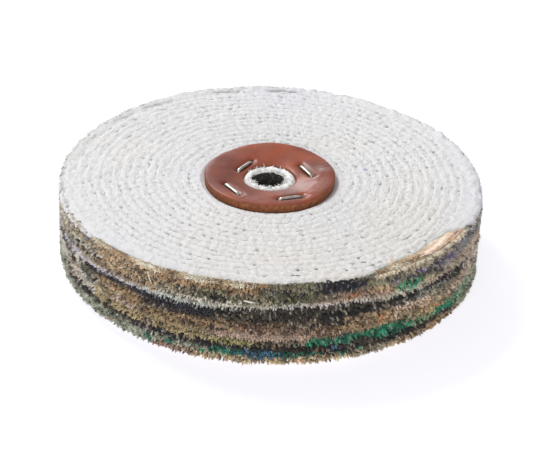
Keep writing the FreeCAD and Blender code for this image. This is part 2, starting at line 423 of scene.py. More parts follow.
# each rag layer from the top of the wheel down: where each rag of that colour starts, in degrees
RAG = [
    # upper section
    [(-180, "lint"), (-168, "cream_grey"), (-158, "grey_tan"), (-150, "olive_grey"), (-141, "tan"), (-119, "orange_tan"), (-108, "tan_dark"), (-91, "moss"), (-84, "olive_grey"), (-77, "navy"), (-64.3, "olive_grey"), (-57, "grey_tan"), (-42, "grey_tan"), (-31, "purple_grey"), (-20, "pale_grey"), (4, "grey_tan"), (50, "lint")],
    [(-180, "cream_grey"), (-163, "cream_grey"), (-153, "grey_tan"), (-139, "tan"), (-120, "tan"), (-112, "olive_grey"), (-100, "tan_dark"), (-91, "moss"), (-76, "dark_mix"), (-71, "brown_grey"), (-64, "olive_grey"), (-55, "olive_grey"), (-44, "purple_grey"), (-29, "blue_grey"), (2, "fawn"), (70, "black_violet"), (88, "pale_grey"), (130, "cream_grey")],
    [(-180, "grey_tan"), (-163, "grey_tan"), (-154, "cream_grey"), (-139, "tan"), (-119, "grey_tan"), (-108, "moss"), (-99, "olive_grey"), (-89, "moss"), (-76, "brown_grey"), (-71, "pink_brown"), (-63, "fawn"), (-54, "leaf"), (-45, "olive_grey"), (-38, "purple_grey"), (-30, "grey"), (-20, "purple_grey"), (20, "tan"), (88, "grey_green"), (132, "pink_brown")],
    [(-180, "grey_tan"), (-160, "grey"), (-152, "grey_tan"), (-139, "fawn"), (-119, "cream_grey"), (-98, "olive_grey"), (-88, "moss"), (-76, "brown_grey"), (-66, "pink_brown"), (-53, "leaf"), (-45, "grey_tan"), (-28, "pink_beige"), (-14, "ochre"), (-4, "pale_grey"), (36, "fawn"), (100, "grey")],
    # middle section
    [(-180, "grey"), (-167, "charcoal"), (-158, "pink_beige"), (-148, "black_violet"), (-133, "black_violet"), (-122, "navy"), (-104, "black"), (-97, "dark_mix"), (-60, "black"), (-46, "charcoal"), (-37, "black"), (-26, "charcoal"), (-21, "pink_tan"), (14, "black"), (92, "navy"), (140, "black")],
    [(-180, "pale_grey"), (-165, "charcoal"), (-156, "cream_grey"), (-150, "moss"), (-141, "tan_dark"), (-132, "tan_dark"), (-123, "black_violet"), (-104, "dark_mix"), (-76, "black"), (-60, "dark_mix"), (-46, "grey"), (-34, "dark_mix"), (-26, "pink_tan"), (30, "dark_brown"), (106, "tan")],
    [(-180, "cream_grey"), (-160, "pale_grey"), (-141, "tan"), (-130, "tan_dark"), (-104, "orange_tan"), (-98, "brown"), (-84, "brown_grey"), (-76, "dark_mix"), (-70, "fawn"), (-60, "tan_dark"), (-54, "pink_beige"), (-40, "grey_tan"), (-26, "pink_tan"), (24, "tan"), (110, "brown")],
    [(-180, "cream_grey"), (-160, "pink_beige"), (-150, "pale_grey"), (-141, "ochre"), (-133, "pink_beige"), (-126, "tan_dark"), (-104, "pink_brown"), (-78, "brown"), (-72, "tan_dark"), (-60, "fawn"), (-50, "tan"), (-40, "grey_tan"), (-34, "pink_beige"), (-27, "pink_tan"), (24, "fawn"), (60, "pink_brown"), (120, "tan")],
    # lower section
    [(-180, "pale_grey"), (-160, "cream_grey"), (-143, "ochre"), (-126, "ochre"), (-110, "ochre"), (-103, "olive"), (-92, "brown_grey"), (-79, "green"), (-60, "green"), (-50, "ochre"), (-36, "leaf"), (-22, "grey_green"), (0, "tan"), (64, "teal"), (112, "ochre")],
    [(-180, "grey_green"), (-164, "grey_green"), (-157, "black_violet"), (-138, "dark_mix"), (-128, "black_violet"), (-120, "black"), (-98, "black"), (-88, "dark_brown"), (-80, "black"), (-72, "dark_mix"), (-60, "teal"), (-50, "leaf"), (-38, "green"), (-28, "grey_green"), (10, "black"), (120, "black_violet")],
    [(-180, "grey_green"), (-141, "grey_green"), (-110, "grey_green"), (-104, "teal"), (-96, "blue"), (-86, "teal"), (-76, "black"), (-66, "dark_mix"), (-57, "black"), (-46, "dark_brown"), (-36, "black"), (-28, "leaf"), (0, "teal"), (76, "grey_green"), (130, "charcoal")],
    [(-180, "grey_green"), (-140, "grey_green"), (-120, "pink_brown"), (-108, "sand"), (-80, "sand"), (-66, "grey_tan"), (-55, "sand"), (-47, "tan_dark"), (-30, "grey_tan"), (20, "tan"), (90, "rust"), (130, "grey_tan")],
]
# now and then a thread of another colour
FLECKS = ["black", "tan", "cream", "pale_grey", "brown", "charcoal", "ochre", "pink_beige", "dark_brown", "grey_tan", "cream_grey", "dark_mix"]

# smaller scraps: degrees, height, half width in degrees, half height in mm, colour, how many of the tufts there
SPOTS = [
    (-151.0, 9.4, 1.0, 1.1, "black", 0.9), (-147.8, 9.6, 1.3, 1.1, "dark_brown", 0.9), (-144.8, 9.3, 0.9, 1.0, "black", 0.9), (-141.0, 10.6, 1.4, 0.8, "dark_mix", 0.8),
    (-153, 14.0, 2.2, 1.2, "olive", 0.5), (-146, 16.8, 2.5, 0.9, "purple_grey", 0.5), (-142, 18.0, 3.0, 0.8, "grey_green", 0.6),
    (-112.0, 13.3, 1.3, 1.7, "charcoal", 0.85), (-108.6, 15.0, 0.9, 2.2, "dark_brown", 0.7), (-103.0, 15.6, 0.8, 2.6, "dark_brown", 0.7), (-101.0, 12.2, 3.6, 0.9, "black", 0.7), (-94, 16.0, 1.6, 1.0, "violet_brown", 0.7),
    (-88, 18.0, 1.0, 1.6, "purple_grey", 0.5), (-84.5, 16.2, 1.2, 3.0, "black", 0.6), (-80.5, 15.5, 1.0, 2.6, "charcoal", 0.6), (-71, 18.4, 6.4, 2.2, "navy", 0.85), (-66.5, 13.0, 3.6, 1.8, "rust", 0.22),
    (-49.5, 10.9, 3.9, 2.1, "green", 0.85), (-47.0, 15.0, 3.2, 1.2, "violet", 0.55), (-54.5, 15.4, 2.0, 1.1, "purple_grey", 0.7), (-39.2, 14.2, 0.9, 1.7, "violet", 0.9), (-35.2, 15.0, 1.1, 1.2, "violet", 0.8), (-46.2, 17.3, 0.7, 0.9, "ochre", 0.9), (-37.0, 14.4, 7.5, 3.2, "purple_grey", 0.6), (-53.0, 15.0, 4.0, 1.8, "purple_grey", 0.4), (-41.0, 11.0, 2.0, 1.2, "olive", 0.6),
    # middle
    (-153.5, -1.7, 1.5, 1.6, "dark_brown", 0.9), (-147.2, -1.6, 2.1, 2.0, "olive_dark", 0.85), (-142.4, -2.6, 1.2, 1.6, "black", 0.9), (-142.5, -6.4, 2.0, 1.0, "lavender", 0.7), (-155, -9.8, 4.0, 1.5, "pink_beige", 0.5),
    (-133.0, -6.0, 2.0, 2.3, "pink_beige", 0.6), (-128.4, -4.6, 1.5, 1.8, "pink_beige", 0.5), (-122.0, -7.5, 1.5, 2.5, "pink_beige", 0.4), (-138.5, -10.3, 2.4, 1.3, "ochre", 0.6),
    (-97.0, -6.0, 6.2, 0.9, "pink_beige", 0.75), (-83.5, -6.6, 5.6, 0.9, "pink_beige", 0.7), (-103.5, -1.6, 0.5, 3.0, "dark_brown", 0.6),
    (-92.0, 4.0, 1.6, 2.6, "grey_tan", 0.35), (-84.0, 3.2, 1.2, 3.2, "grey_tan", 0.35), (-76.0, 1.0, 1.3, 2.6, "pink_brown", 0.45), (-69.0, 5.4, 1.6, 1.6, "grey_tan", 0.4), (-57.0, 4.0, 1.0, 2.6, "grey_tan", 0.4), (-51.0, 3.0, 1.2, 2.0, "grey", 0.4), (-47.5, 3.4, 1.0, 1.6, "blue_grey", 0.5), (-40.5, 1.6, 2.8, 1.6, "grey_green", 0.5),
    (-58.0, -3.4, 1.0, 2.8, "rust", 0.6), (-50.0, -4.2, 1.8, 1.2, "ochre", 0.5), (-38.5, -8.0, 1.2, 1.0, "rust", 0.6), (-28.0, -5.5, 1.6, 1.6, "peach", 0.5),
    # lower
    (-122.0, -15.8, 1.5, 1.5, "teal", 0.9), (-115.6, -15.6, 1.6, 1.3, "teal", 0.8), (-106.5, -16.4, 1.3, 0.9, "green", 0.9), (-100.0, -14.6, 3.0, 0.9, "teal", 0.7), (-90.8, -16.0, 4.6, 0.8, "blue", 0.8), (-81.5, -15.6, 3.4, 1.1, "teal", 0.8),
    (-117.0, -18.4, 3.0, 0.8, "pink_brown", 0.5), (-80.5, -18.2, 1.6, 0.9, "rust", 0.7), (-136, -17.6, 3.0, 1.0, "pink_beige", 0.4),
    (-77.0, -9.0, 2.0, 1.2, "green", 0.85), (-70.0, -8.4, 2.4, 2.0, "teal", 0.9), (-62.8, -7.8, 2.6, 2.1, "green", 0.9), (-56.0, -9.4, 4.8, 1.9, "green", 0.9), (-50.0, -11.2, 2.2, 1.3, "teal", 0.8), (-44.5, -10.6, 3.6, 1.3, "leaf", 0.6), (-35.0, -11.8, 3.8, 1.7, "green", 0.8), (-31.2, -13.2, 1.4, 1.2, "teal", 0.8), (-28.5, -13.4, 2.6, 1.8, "leaf", 0.6),
    (-75.5, -13.0, 1.4, 1.6, "brown", 0.7), (-71.5, -12.4, 0.9, 1.0, "blue", 0.6), (-68.0, -16.4, 2.2, 1.4, "teal", 0.6), (-63.5, -14.6, 0.9, 1.2, "green", 0.7), (-50.2, -17.0, 1.4, 1.0, "rust", 0.7), (-47.5, -15.0, 1.6, 0.9, "dark_brown", 0.7),
]

# edges of the white covers at the rim, from the top down
COVER = [
    [(-180, "white"), (-160, "cream_grey"), (-146, "mint_white"), (-136, "cream"), (-90, "white"), (-70, "mint_white"), (-20, "lavender"), (20, "white"), (165, "white")],
    [(-180, "lavender"), (-136, "mint_white"), (-112, "pale_grey"), (-96, "pale_grey"), (-80, "pink_beige"), (-60, "cream_grey"), (-44, "pink_beige"), (-34, "grey_tan"), (-24, "pink_tan"), (0, "white"), (100, "mint_white")],
    [(-180, "lavender"), (-140, "lavender"), (-118, "mint_white"), (-104, "cream_grey"), (-88, "white"), (-60, "cream_grey"), (-44, "grey_tan"), (-28, "pink_tan"), (10, "pale_grey"), (110, "white")],
    [(-180, "pale_grey"), (-150, "cream_grey"), (-136, "ochre"), (-104, "pink_beige"), (-78, "brown"), (-70, "fawn"), (-58, "fawn"), (-30, "cream"), (40, "white")],
    [(-180, "cream_grey"), (-146, "pale_grey"), (-136, "ochre"), (-104, "pink_beige"), (-78, "brown_grey"), (-66, "fawn"), (-58, "tan_dark"), (-30, "pale_grey"), (40, "white")],
    [(-180, "grey_green"), (-120, "pink_beige"), (-96, "sand"), (-60, "grey_tan"), (0, "cream_grey"), (90, "pale_grey")],
]


def patch_colors(table, degrees, rng, spread=2.2):
    """Tint of each tuft: the colour of the rag it grows from, with the edges between rags jittered."""
    starts = np.array([s for s, _ in table], float)
    cols = np.array([C[c] for _, c in table], float)
    d = degrees + rng.normal(0, spread, len(degrees))
    d = (d + 180.0) % 360.0 - 180.0
    i = np.clip(np.searchsorted(starts, d, side="right") - 1, 0, len(starts) - 1)
    return cols[i]


# ---------------------------------------------------------------- how the layers lie
LAYER_NAMES, LAYER_KIND, Z_NOM = [], [], [TOP]
for sec in ("upper", "middle", "lower"):
    LAYER_NAMES.append("%s_section_top_cover" % sec)
    LAYER_KIND.append("cover")
    Z_NOM.append(Z_NOM[-1] - COVER_T)
    for k in range(1, 5):
        LAYER_NAMES.append("%s_section_rag_layer_%d" % (sec, k))
        LAYER_KIND.append("rag")
        Z_NOM.append(Z_NOM[-1] - RAG_T)
    LAYER_NAMES.append("%s_section_bottom_cover" % sec)
    LAYER_KIND.append("cover")
    Z_NOM.append(Z_NOM[-1] - COVER_T)
Z_NOM = np.array(Z_NOM)

SEAM1 = [(-175, -3.2), (-160, -2.9), (-155, -2.5), (-145, -1.5), (-135, 0.3), (-125, 0.9), (-112, 1.2), (-102, 1.9), (-95, 3.2), (-85, 4.4), (-75, 4.6), (-66, 3.9), (-58, 2.0), (-50, 1.1), (-38, 0.9), (-30, 0.5), (0, 0.0), (45, 0.8), (90, -0.4), (135, 0.6)]
SEAM2 = [(-175, 0.9), (-150, 0.6), (-135, 0.4), (-120, 0.3), (-100, 0.6), (-88, 0.4), (-80, -0.2), (-72, 0.4), (-62, 1.2), (-50, 0.9), (-30, 0.2), (0, 0.1), (60, -0.5), (120, 0.7)]


def layer_z(i, theta, r):
    """Height of boundary i (0 the top of the wheel, 18 its bottom)."""
    deg = np.degrees(theta)
    x, y = np.cos(theta) * r, np.sin(theta) * r
    s1, s2 = ring_table(deg, SEAM1), ring_table(deg, SEAM2)
    z = Z_NOM[i]
    at = [0, 6, 12, 18]
    vals = [0 * s1, s1, s2, 0 * s1]
    j = 0 if i <= 6 else (1 if i <= 12 else 2)
    t = (Z_NOM[at[j]] - z) / (Z_NOM[at[j]] - Z_NOM[at[j + 1]])
    shift = vals[j] * (1 - t) + vals[j + 1] * t
    wobble = 0.0
    if i not in (0, 18):
        wobble = 0.42 * noise(x / 17.0, y / 17.0, i * 3.7, 5) + 0.2 * noise(x / 6.0, y / 6.0, i * 3.7, 6)
    w = smooth(55.0, 95.0, r)
    # the leather and the staples pull every layer in towards the middle of the wheel
    press = (1.0 - smooth(14.0, 46.0, r)) * 0.9 * (z / 20.0)
    return z + (shift + wobble) * w - press


RIM_OUT = [(-178, 0.2), (-150, 0.1), (-120, 0.0), (-60, 0.0), (-42, 0.8), (-28, 1.5), (-10, 1.8), (10, 1.5), (35, 0.8), (70, 0.0)]


def rim_r(theta, z, i):
    """Radius of the cut edge under the tufts."""
    x, y = np.cos(theta) * 100, np.sin(theta) * 100
    r = RIM_R + ring_table(np.degrees(theta), RIM_OUT) + 0.55 * noise(x / 22.0, y / 22.0, i * 1.9, 11) + 0.45 * fbm(x / 3.0, y / 3.0, z / 2.0, 12, 2)
    return r


# ---------------------------------------------------------------- sewing
def sew_coords(x, y):
    """Nearest row of sewing: signed distance, length along it, and the turn of the spiral it lies on."""
    yy = y - SPIRAL_Y
    r = np.hypot(x, yy)
    phi = np.mod(np.arctan2(yy, x), TAU)
    s = (r - ROW0) / PITCH - phi / TAU
    n = np.round(s)
    n = np.maximum(n, 0)
    turn = n + phi / TAU
    over = turn > TURNS
    n = np.where(over, n - 1, n)
    turn = np.where(over, turn - 1, turn)
    d = (s - n) * PITCH
    along = TAU * ROW0 * turn + math.pi * PITCH * turn * turn
    return d, along, turn


STITCH_COUNT = int((TAU * ROW0 * TURNS + math.pi * PITCH * TURNS ** 2) / STITCH)


def hole_jitter(j, seed):
    return (hash01(np.asarray(j, float), np.zeros_like(j, float), np.zeros_like(j, float), seed) - 0.5) * 0.9


def face_height(x, y, seed, puff=0.62):
    """Relief of a sewn face in mm, and how deep in a needle hole each point is."""
    wob = 0.34 * noise(x / 9.0, y / 9.0, 4.0, seed + 18) + 0.26 * noise(x / 3.4, y / 3.4, 4.0, seed + 19)
    r = np.hypot(x, y - SPIRAL_Y) + 1e-9
    xw, yw = x * (1 + wob / r), y + wob * (y - SPIRAL_Y) / r
    d, along, turn = sew_coords(xw, yw)
    q = along / STITCH
    best = np.full(np.shape(x), 1e9)
    idx = np.zeros(np.shape(x))
    for k in (0, 1):
        j = np.floor(q) + k
        a = np.abs(along - (j * STITCH + hole_jitter(j, seed)))
        nearer = a < best
        best = np.where(nearer, a, best)
        idx = np.where(nearer, j, idx)
    wide = hash01(idx, idx * 0, idx * 0, seed + 3)
    far = smooth(-10.0, 35.0, y) * smooth(-25.0, 15.0, x)       # sewn with a thicker needle there
    depth = 0.05 + 1.6 * smooth(0.84, 0.94, wide + 0.10 * far)
    hole = np.exp(-((best / 0.66) ** 2 + (d / 0.50) ** 2))
    ad = np.abs(d)
    inside = smooth(2.1, 3.4, ad)          # beyond the sewn rows
    # the roll of cloth between two rows, gathered into short lumps
    yy = yw - SPIRAL_Y
    rr = np.hypot(xw, yy)
    phi = np.mod(np.arctan2(yy, xw), TAU)
    row = np.floor((rr - ROW0) / PITCH - phi / TAU)
    mid = ROW0 + PITCH * (row + 0.5 + phi / TAU)
    slant = 0.9 * (hash01(row, row * 0, row * 0, seed + 41) - 0.5) + 0.9 * noise(x / 12.0, y / 12.0, 9.0, seed + 42)
    cell = (phi * mid + slant * (rr - mid)) / 3.0
    cut = np.full(np.shape(x), 1e9)
    cid = np.zeros(np.shape(x))
    for k in (0, 1):
        jj = np.floor(cell) + k
        pos = jj + (hash01(jj, row, jj * 0, seed + 43) - 0.5) * 0.75
        a = np.abs(cell - pos) * 3.0
        nearer = a < cut
        cut = np.where(nearer, a, cut)
        cid = np.where(nearer, jj, cid)
    deep = 0.08 + 0.62 * hash01(cid, row, cid * 0 + 1, seed + 44)
    gather = deep * np.exp(-(cut / 0.42) ** 2)
    lump = hash01(np.floor(cell), row, cid * 0 + 2, seed + 45) - 0.5
    t = np.clip((2.1 - ad) / 1.75, 0, 1)
    ridge = np.sqrt(np.clip(1 - t ** 2.4, 0, 1))
    pull = 0.10 + 0.28 * hash01(idx, idx * 0 + 2, idx * 0, seed + 4)
    pinch = np.exp(-(best / 1.0) ** 2)
    h = puff * (ridge * (1 - pull * pinch) * (1 - 0.85 * gather) + 0.22 * lump * ridge) * (1 - inside) + (puff * 0.75) * inside
    c2 = noise(along / 1.7 + 9, d / 1.2, seed * 1.0, seed + 22)
    c1 = noise(x / 2.3, y / 2.3, seed * 1.0, seed + 21)
    crease = 1.0 - np.clip(np.abs(noise(x / 3.4, y / 3.4, seed * 1.0, seed + 23)) / 0.16, 0, 1)
    # finer folds drawn out along each roll
    la, lr = phi * mid + 37.0 * hash01(row, row * 0, row * 0, seed + 47), rr - mid
    long1 = noise(la / 3.3, lr / 0.95, row * 0.37, seed + 24)
    long2 = 1.0 - np.clip(np.abs(noise(la / 3.8, lr / 1.15, row * 0.41, seed + 25)) / 0.17, 0, 1)
    h = h + (0.22 * c1 + 0.30 * long1 + 0.14 * c2 - 0.10 * crease - 0.54 * long2) * (0.5 + 0.5 * ridge)
    h = h + 0.30 * noise(x / 21.0, y / 21.0, seed * 1.0, seed + 31) + 0.18 * noise(x / 6.5, y / 6.5, seed * 1.0, seed + 32)
    h = h + 0.17 * noise(x / 1.25, y / 1.25, seed * 1.0, seed + 33)
    h = h - depth * hole
    return h, hole * np.clip(depth, 0, 1.2), d, along, turn


# the leather's dish, as radius and height above the cloth line
DISH_R = np.array([12.0, 12.6, 13.6, 15.0, 17.0, 20.0, 23.0, 26.0, 28.5, 30.0, 31.1, 33.0])
DISH_Z = np.array([0.30, 0.50, 0.90, 1.30, 1.75, 2.30, 2.75, 3.05, 3.20, 3.20, 3.12, 3.0])


def dish(r):
    return np.interp(r, DISH_R, DISH_Z)


def leather_thick(r):
    return np.interp(r, [12.6, 18.0, 31.1], [2.4, 3.2, 4.5])


def cloth_base(r):
    """Height of the cloth face relative to the cloth line, before the relief."""
    under = dish(r) - leather_thick(r) - 0.12
    ringed = np.interp(r, [8.0, 9.0, 10.6, 12.0, 12.8], [-0.6, 0.25, 0.35, -0.6, -1.85])
    z = np.where(r < 12.8, ringed, under)
    out = smooth(30.9, 33.4, r)
    return np.where(r > 31.0, (dish(31.1) - 4.5 - 0.12) * (1 - out), z)


# the uppermost cover is cut short at the front right
SHORT = [(-178, 99.0), (-160, 98.9), (-148, 98.5), (-140, 97.9), (-132, 97.2), (-120, 96.6), (-112, 95.6), (-106, 94.8), (-101, 94.5), (-95, 94.9), (-90, 95.2), (-84, 95.6), (-72, 95.9), (-64, 95.6), (-60, 94.2), (-56.5, 92.2), (-49, 91.0), (-43, 91.6), (-37.5, 91.4), (-32, 91.3), (-28, 92.3), (-25.5, 94.4), (-23, 98.2), (-18, 99.8), (-5, 100.6), (20, 100.8), (45, 100.3), (75, 100.2), (92, 100.3), (110, 100.0), (130, 99.6), (150, 99.3), (168, 99.2)]
WRAP = [(-178, 1.5), (-160, 1.7), (-148, 1.2), (-140, 0.9), (-132, 0.5), (-60, 0.1), (-28, 0.2), (-15, 0.9), (10, 1.4), (60, 1.2), (90, 0.4), (150, 0.4)]
# how far the cloth's edge stands up
LIP = [(-178, 0.3), (-150, 0.0), (-120, 0.1), (-60, 0.1), (-25, 0.3), (0, 0.6), (40, 0.9), (75, 0.9), (88, 0.8), (104, 0.7), (125, 0.5), (150, 0.2), (165, 0.3)]
PUFF = 0.80


def bore_shift(theta, seed):
    x, y = np.cos(theta), np.sin(theta)
    return -0.55 * x + 0.45 * noise(x * 1.7, y * 1.7, 5.0, seed + 70) + 0.25 * noise(x * 5.0, y * 5.0, 5.0, seed + 71)


def CREASE(dg):
    """Where the cloth is folded just inside its edge, at the back."""
    first = smooth(99.0, 101.0, dg) * smooth(110.0, 107.0, dg)
    second = smooth(81.0, 83.0, dg) * smooth(93.0, 90.5, dg)
    third = smooth(121.0, 124.0, dg) * smooth(173.0, 166.0, dg) * np.clip(0.62 + 0.9 * noise(dg / 4.5, 0 * dg, 0 * dg, 91), 0.1, 1.1)
    return first + second + 0.62 * third


def cover_face(name, sign, seed, columns, rows_dr, z_face, short, puff, fine=True):
    """One cover cloth with an outer sewn face. sign is +1 for a face that looks up."""
    theta = np.arange(columns) * TAU / columns
    deg = np.degrees(theta)
    if short:
        edge = ring_table(deg, SHORT)
        wrap = ring_table(deg, WRAP)
    else:
        edge = np.full(columns, 96.4)
        wrap = np.full(columns, 0.1)
    x1, y1 = np.cos(theta) * 100, np.sin(theta) * 100
    edge = edge + 0.6 * noise(x1 / 9.0, y1 / 9.0, seed * 2.0, seed + 40) + 0.6 * noise(x1 / 2.6, y1 / 2.6, seed * 2.0, seed + 41)
    inner = np.array([8.3, 8.9, 9.6, 10.4, 11.2, 12.0, 12.7, 14.0, 18.0, 23.0, 28.0, 30.2, 31.4, 32.4])
    rest = np.arange(33.2, 87.99, rows_dr)
    fixed = np.concatenate([inner, rest])
    n_out = max(6, int(9.6 / rows_dr))
    rings, zs, depths = [], [], []
    for r in fixed:
        rings.append(np.full(columns, r))
    for t in (np.arange(n_out) + 1.0) / n_out:
        rings.append(88.0 + (edge - 88.0) * t)
    R = np.array(rings)
    R = R + bore_shift(theta, seed)[None, :] * smooth(12.6, 9.0, R)
    X, Y = R * np.cos(theta), R * np.sin(theta)
    h, hole, d, along, turn = face_height(X, Y, seed, puff)
    flat_in = smooth(31.0, 36.0, R)
    torn = smooth(12.9, 11.0, R) * smooth(7.9, 9.0, R)
    rag_ring = 0.9 * fbm(X / 2.6, Y / 2.6, seed * 1.0, seed + 61, 3) + 0.35 * noise(X / 0.9, Y / 0.9, 1.0, seed + 62)
    h = h * flat_in + torn * (rag_ring + 0.35)
    # the edge of the cloth turns down
    roll = smooth(4.5, 0.0, edge[None, :] - R)
    h = h - 0.75 * roll ** 2 + 0.18 * roll * noise(X / 2.2, Y / 2.2, seed * 1.0, seed + 44)
    if short:
        lip = ring_table(deg, LIP)[None, :]
        h = h + lip * smooth(5.5, 1.6, edge[None, :] - R) * (1 + 0.9 * noise(X / 3.4, Y / 3.4, 2.0, seed + 47))
        dg = (deg + 180) % 360 - 180
        h = h - 0.9 * CREASE(dg)[None, :] * np.exp(-((edge[None, :] - R - 4.4 - 0.8 * noise(X / 7.0, Y / 7.0, 2.0, seed + 55)) / 0.8) ** 2)
    base = cloth_base(R)
    Z = z_face + sign * (base + h - puff * 0.6 * flat_in)
    hole_shade = hole * flat_in
    # rolled edge, under side
    zt = Z[-1]
    prof = [(0.25, 0.25), (0.42, 0.7), (0.40, 1.1), (0.15, 1.35)]
    er, ez = [], []
    for dr, dz in prof:
        k = dz / 1.35
        er.append(edge + dr * (1 + 0.5 * wrap) + 0.12 * noise(x1 / 1.3, y1 / 1.3, dz * 3 + seed, seed + 45))
        ez.append(zt - sign * (dz + wrap * k))
    er.append(edge - 1.6)
    ez.append(zt - sign * 1.0)
    er.append(edge - 6.0)
    ez.append(np.full(columns, z_face - sign * 1.0))
    ER, EZ = np.array(er), np.array(ez)
    ir = np.array([8.15 + bore_shift(theta, seed) + 0.2 * noise(x1 / 9, y1 / 9, 3.0, seed + 46)])
    iz = Z[0][None, :] - sign * 0.9
    Rr = np.concatenate([ir, R, ER])
    Zz = np.concatenate([iz, Z, EZ])
    hole_shade = np.concatenate([np.full((1, columns), 0.4), hole_shade, np.zeros_like(ER)])
    XX, YY = Rr * np.cos(theta), Rr * np.sin(theta)
    verts = np.stack([XX, YY, Zz], -1).reshape(-1, 3)
    # tint: white with a breath of cream and lavender, with painted shade darkening the deeper needle holes
    white = lin((221, 221, 222))
    cream = lin((224, 220, 213))
    lav = lin((217, 217, 226))
    torn_t = smooth(12.7, 12.0, Rr)[..., None]
    n1 = fbm(XX / 70, YY / 70, seed * 1.0, seed + 50, 2) + 0.35 * fbm(XX / 12, YY / 12, seed * 1.0, seed + 51, 2)
    n1 = 0.5 * n1 - 0.30 * (YY / 100.0) + 0.12 * (XX / 100.0) - 0.45 * smooth(72.0, 94.0, XX)
    col = white + (cream - white) * smooth(0.0, 0.6, n1)[..., None] * 0.8 + (lav - white) * smooth(0.0, 0.6, -n1)[..., None] * 0.8
    if short:
        dg = (deg + 180) % 360 - 180
        rim_tint = smooth(6.0, 2.5, edge[None, :] - Rr) * (smooth(78, 90, dg) * smooth(178, 170, dg))[None, :]
        col = col + (lin((205, 206, 203)) - col) * (rim_tint * (0.55 + 0.45 * noise(XX / 4.0, YY / 4.0, 1.0, seed + 54)))[..., None]
        # painted shade: the fold just inside the back edge is darkened, as the shadow cast into it
        painted_crease_shade = np.exp(-((edge[None, :] - Rr - 4.4 - 0.8 * noise(XX / 7.0, YY / 7.0, 2.0, seed + 55)) / 0.55) ** 2) * CREASE(dg)[None, :]
        col = col * (1 - 0.62 * np.clip(painted_crease_shade, 0, 1))[..., None]
        # a coloured thread caught in the cloth
        blue = np.exp(-(((XX - 46.0) / 0.9) ** 2 + ((YY - 12.8) / 0.7) ** 2))[..., None]
        col = col + (lin((70, 92, 170)) - col) * np.clip(blue * 1.1, 0, 0.85)
    spot = noise(XX / 1.1, YY / 1.1, seed * 1.0, seed + 53)
    col = col * (1 - 0.06 * smooth(0.5, 0.9, spot))[..., None]
    # painted shade: the needle holes are darkened towards grey
    dark = np.clip((hole_shade - 0.10) * 0.8, 0, 0.75)[..., None]
    col = col * (1 - dark) + lin((96, 92, 94)) * dark
    col = col + (lin((240, 240, 238)) - col) * torn_t
    q = grid_quads(len(Rr), columns, flip=(sign > 0))
    return new_mesh(name, verts, quads=q[:, ::-1] if sign > 0 else q[:, ::-1], tint=col.reshape(-1, 3))


def face_z_at(x, y, seed, puff, z_face, sign):
    h, hole, d, along, turn = face_height(x, y, seed, puff)
    return z_face + sign * (cloth_base(np.hypot(x, y)) + h - puff * 0.6)


def spiral_xy(along):
    """Point of the sewing at that length, by solving the spiral for the turn."""
    turn = (-TAU * ROW0 + np.sqrt((TAU * ROW0) ** 2 + 4 * math.pi * PITCH * along)) / (2 * math.pi * PITCH)
    r = ROW0 + PITCH * turn
    phi = turn * TAU
    return r * np.cos(phi), r * np.sin(phi) + SPIRAL_Y, phi


def stitches(name, sign, seed, z_face, puff, segs=6, sides=6, lift=0.24):
    """Every visible stitch: a plump dash of thread from one needle hole to the next."""
    j = np.arange(STITCH_COUNT, dtype=float)
    a0 = j * STITCH + hole_jitter(j, seed)
    a1 = (j + 1) * STITCH + hole_jitter(j + 1, seed)
    rnd = np.random.default_rng(seed + 900)
    t = np.linspace(0.03, 0.97, segs + 1)
    A = a0[:, None] + (a1 - a0)[:, None] * t[None, :]
    x, y, phi = spiral_xy(A)
    lean = rnd.normal(0, 0.26, len(j))[:, None] * (t[None, :] - 0.5) * 2.0
    x = x + np.cos(phi) * lean
    y = y + np.sin(phi) * lean
    arch = np.sin(np.pi * (t - 0.03) / 0.94) ** 0.5
    # smoothed cloth height under the thread, so it spans the needle holes
    hz = face_z_at(x, y, seed, puff, z_face, sign)
    mid = np.median(hz, axis=1, keepdims=True)
    sunk = np.where(rnd.uniform(0, 1, len(j)) < 0.22, rnd.uniform(0.15, 0.55, len(j)), 0.0)[:, None]
    z = mid + sign * (lift * arch[None, :] - 0.55 * (1 - arch)[None, :] ** 1.5 - 0.05 - sunk)
    fat = rnd.normal(1.0, 0.14, len(j))[:, None]
    fat = fat if segs > 3 else fat * 0.75
    wid = 0.62 * (0.35 + 0.65 * arch)[None, :] * fat
    hei = 0.40 * (0.35 + 0.65 * arch)[None, :] * fat
    ang = np.arange(sides) * TAU / sides
    # frame: across the row is radial, up is z
    cx, cy = np.cos(phi), np.sin(phi)
    ca, sa = np.cos(ang), np.sin(ang)
    X = x[..., None] + cx[..., None] * wid[..., None] * ca
    Y = y[..., None] + cy[..., None] * wid[..., None] * ca
    Z = z[..., None] + hei[..., None] * sa
    v = np.stack([X, Y, Z], -1)
    n, k = len(j), segs + 1
    per = k * sides
    base = (np.arange(n) * per)[:, None]
    quads = []
    for r in range(k - 1):
        for s in range(sides):
            s2 = (s + 1) % sides
            quads.append(np.concatenate([base + r * sides + s, base + (r + 1) * sides + s,
                                         base + (r + 1) * sides + s2, base + r * sides + s2], 1))
    tone = rnd.normal(1.0, 0.035, (n, 1))
    col = np.repeat(lin((228, 227, 225))[None, :] * tone, per, 0)
    return new_mesh(name, v.reshape(-1, 3), quads=np.concatenate(quads), tint=col)


# ---------------------------------------------------------------- tufts of the cut edges
# how pale the loose fluff along the top edge is, round the wheel
FLUFF = [(-180, "pale_grey"), (-168, "white"), (-150, "cream_grey"), (-142, "cream_grey"), (-136, "tan"), (-126, "cream"), (-118, "tan"), (-112, "cream"), (-104, "tan"), (-99, "cream"), (-94, "orange_tan"), (-89, "olive_grey"), (-80, "moss"), (-76, "navy"), (-64, "olive_grey"), (-60, "cream"), (-24, "grey"), (-10, "pale_grey"), (84, "pale_grey"), (95, "grey_green"), (104, "pale_grey"), (118, "grey_green"), (130, "pale_grey"), (160, "white")]


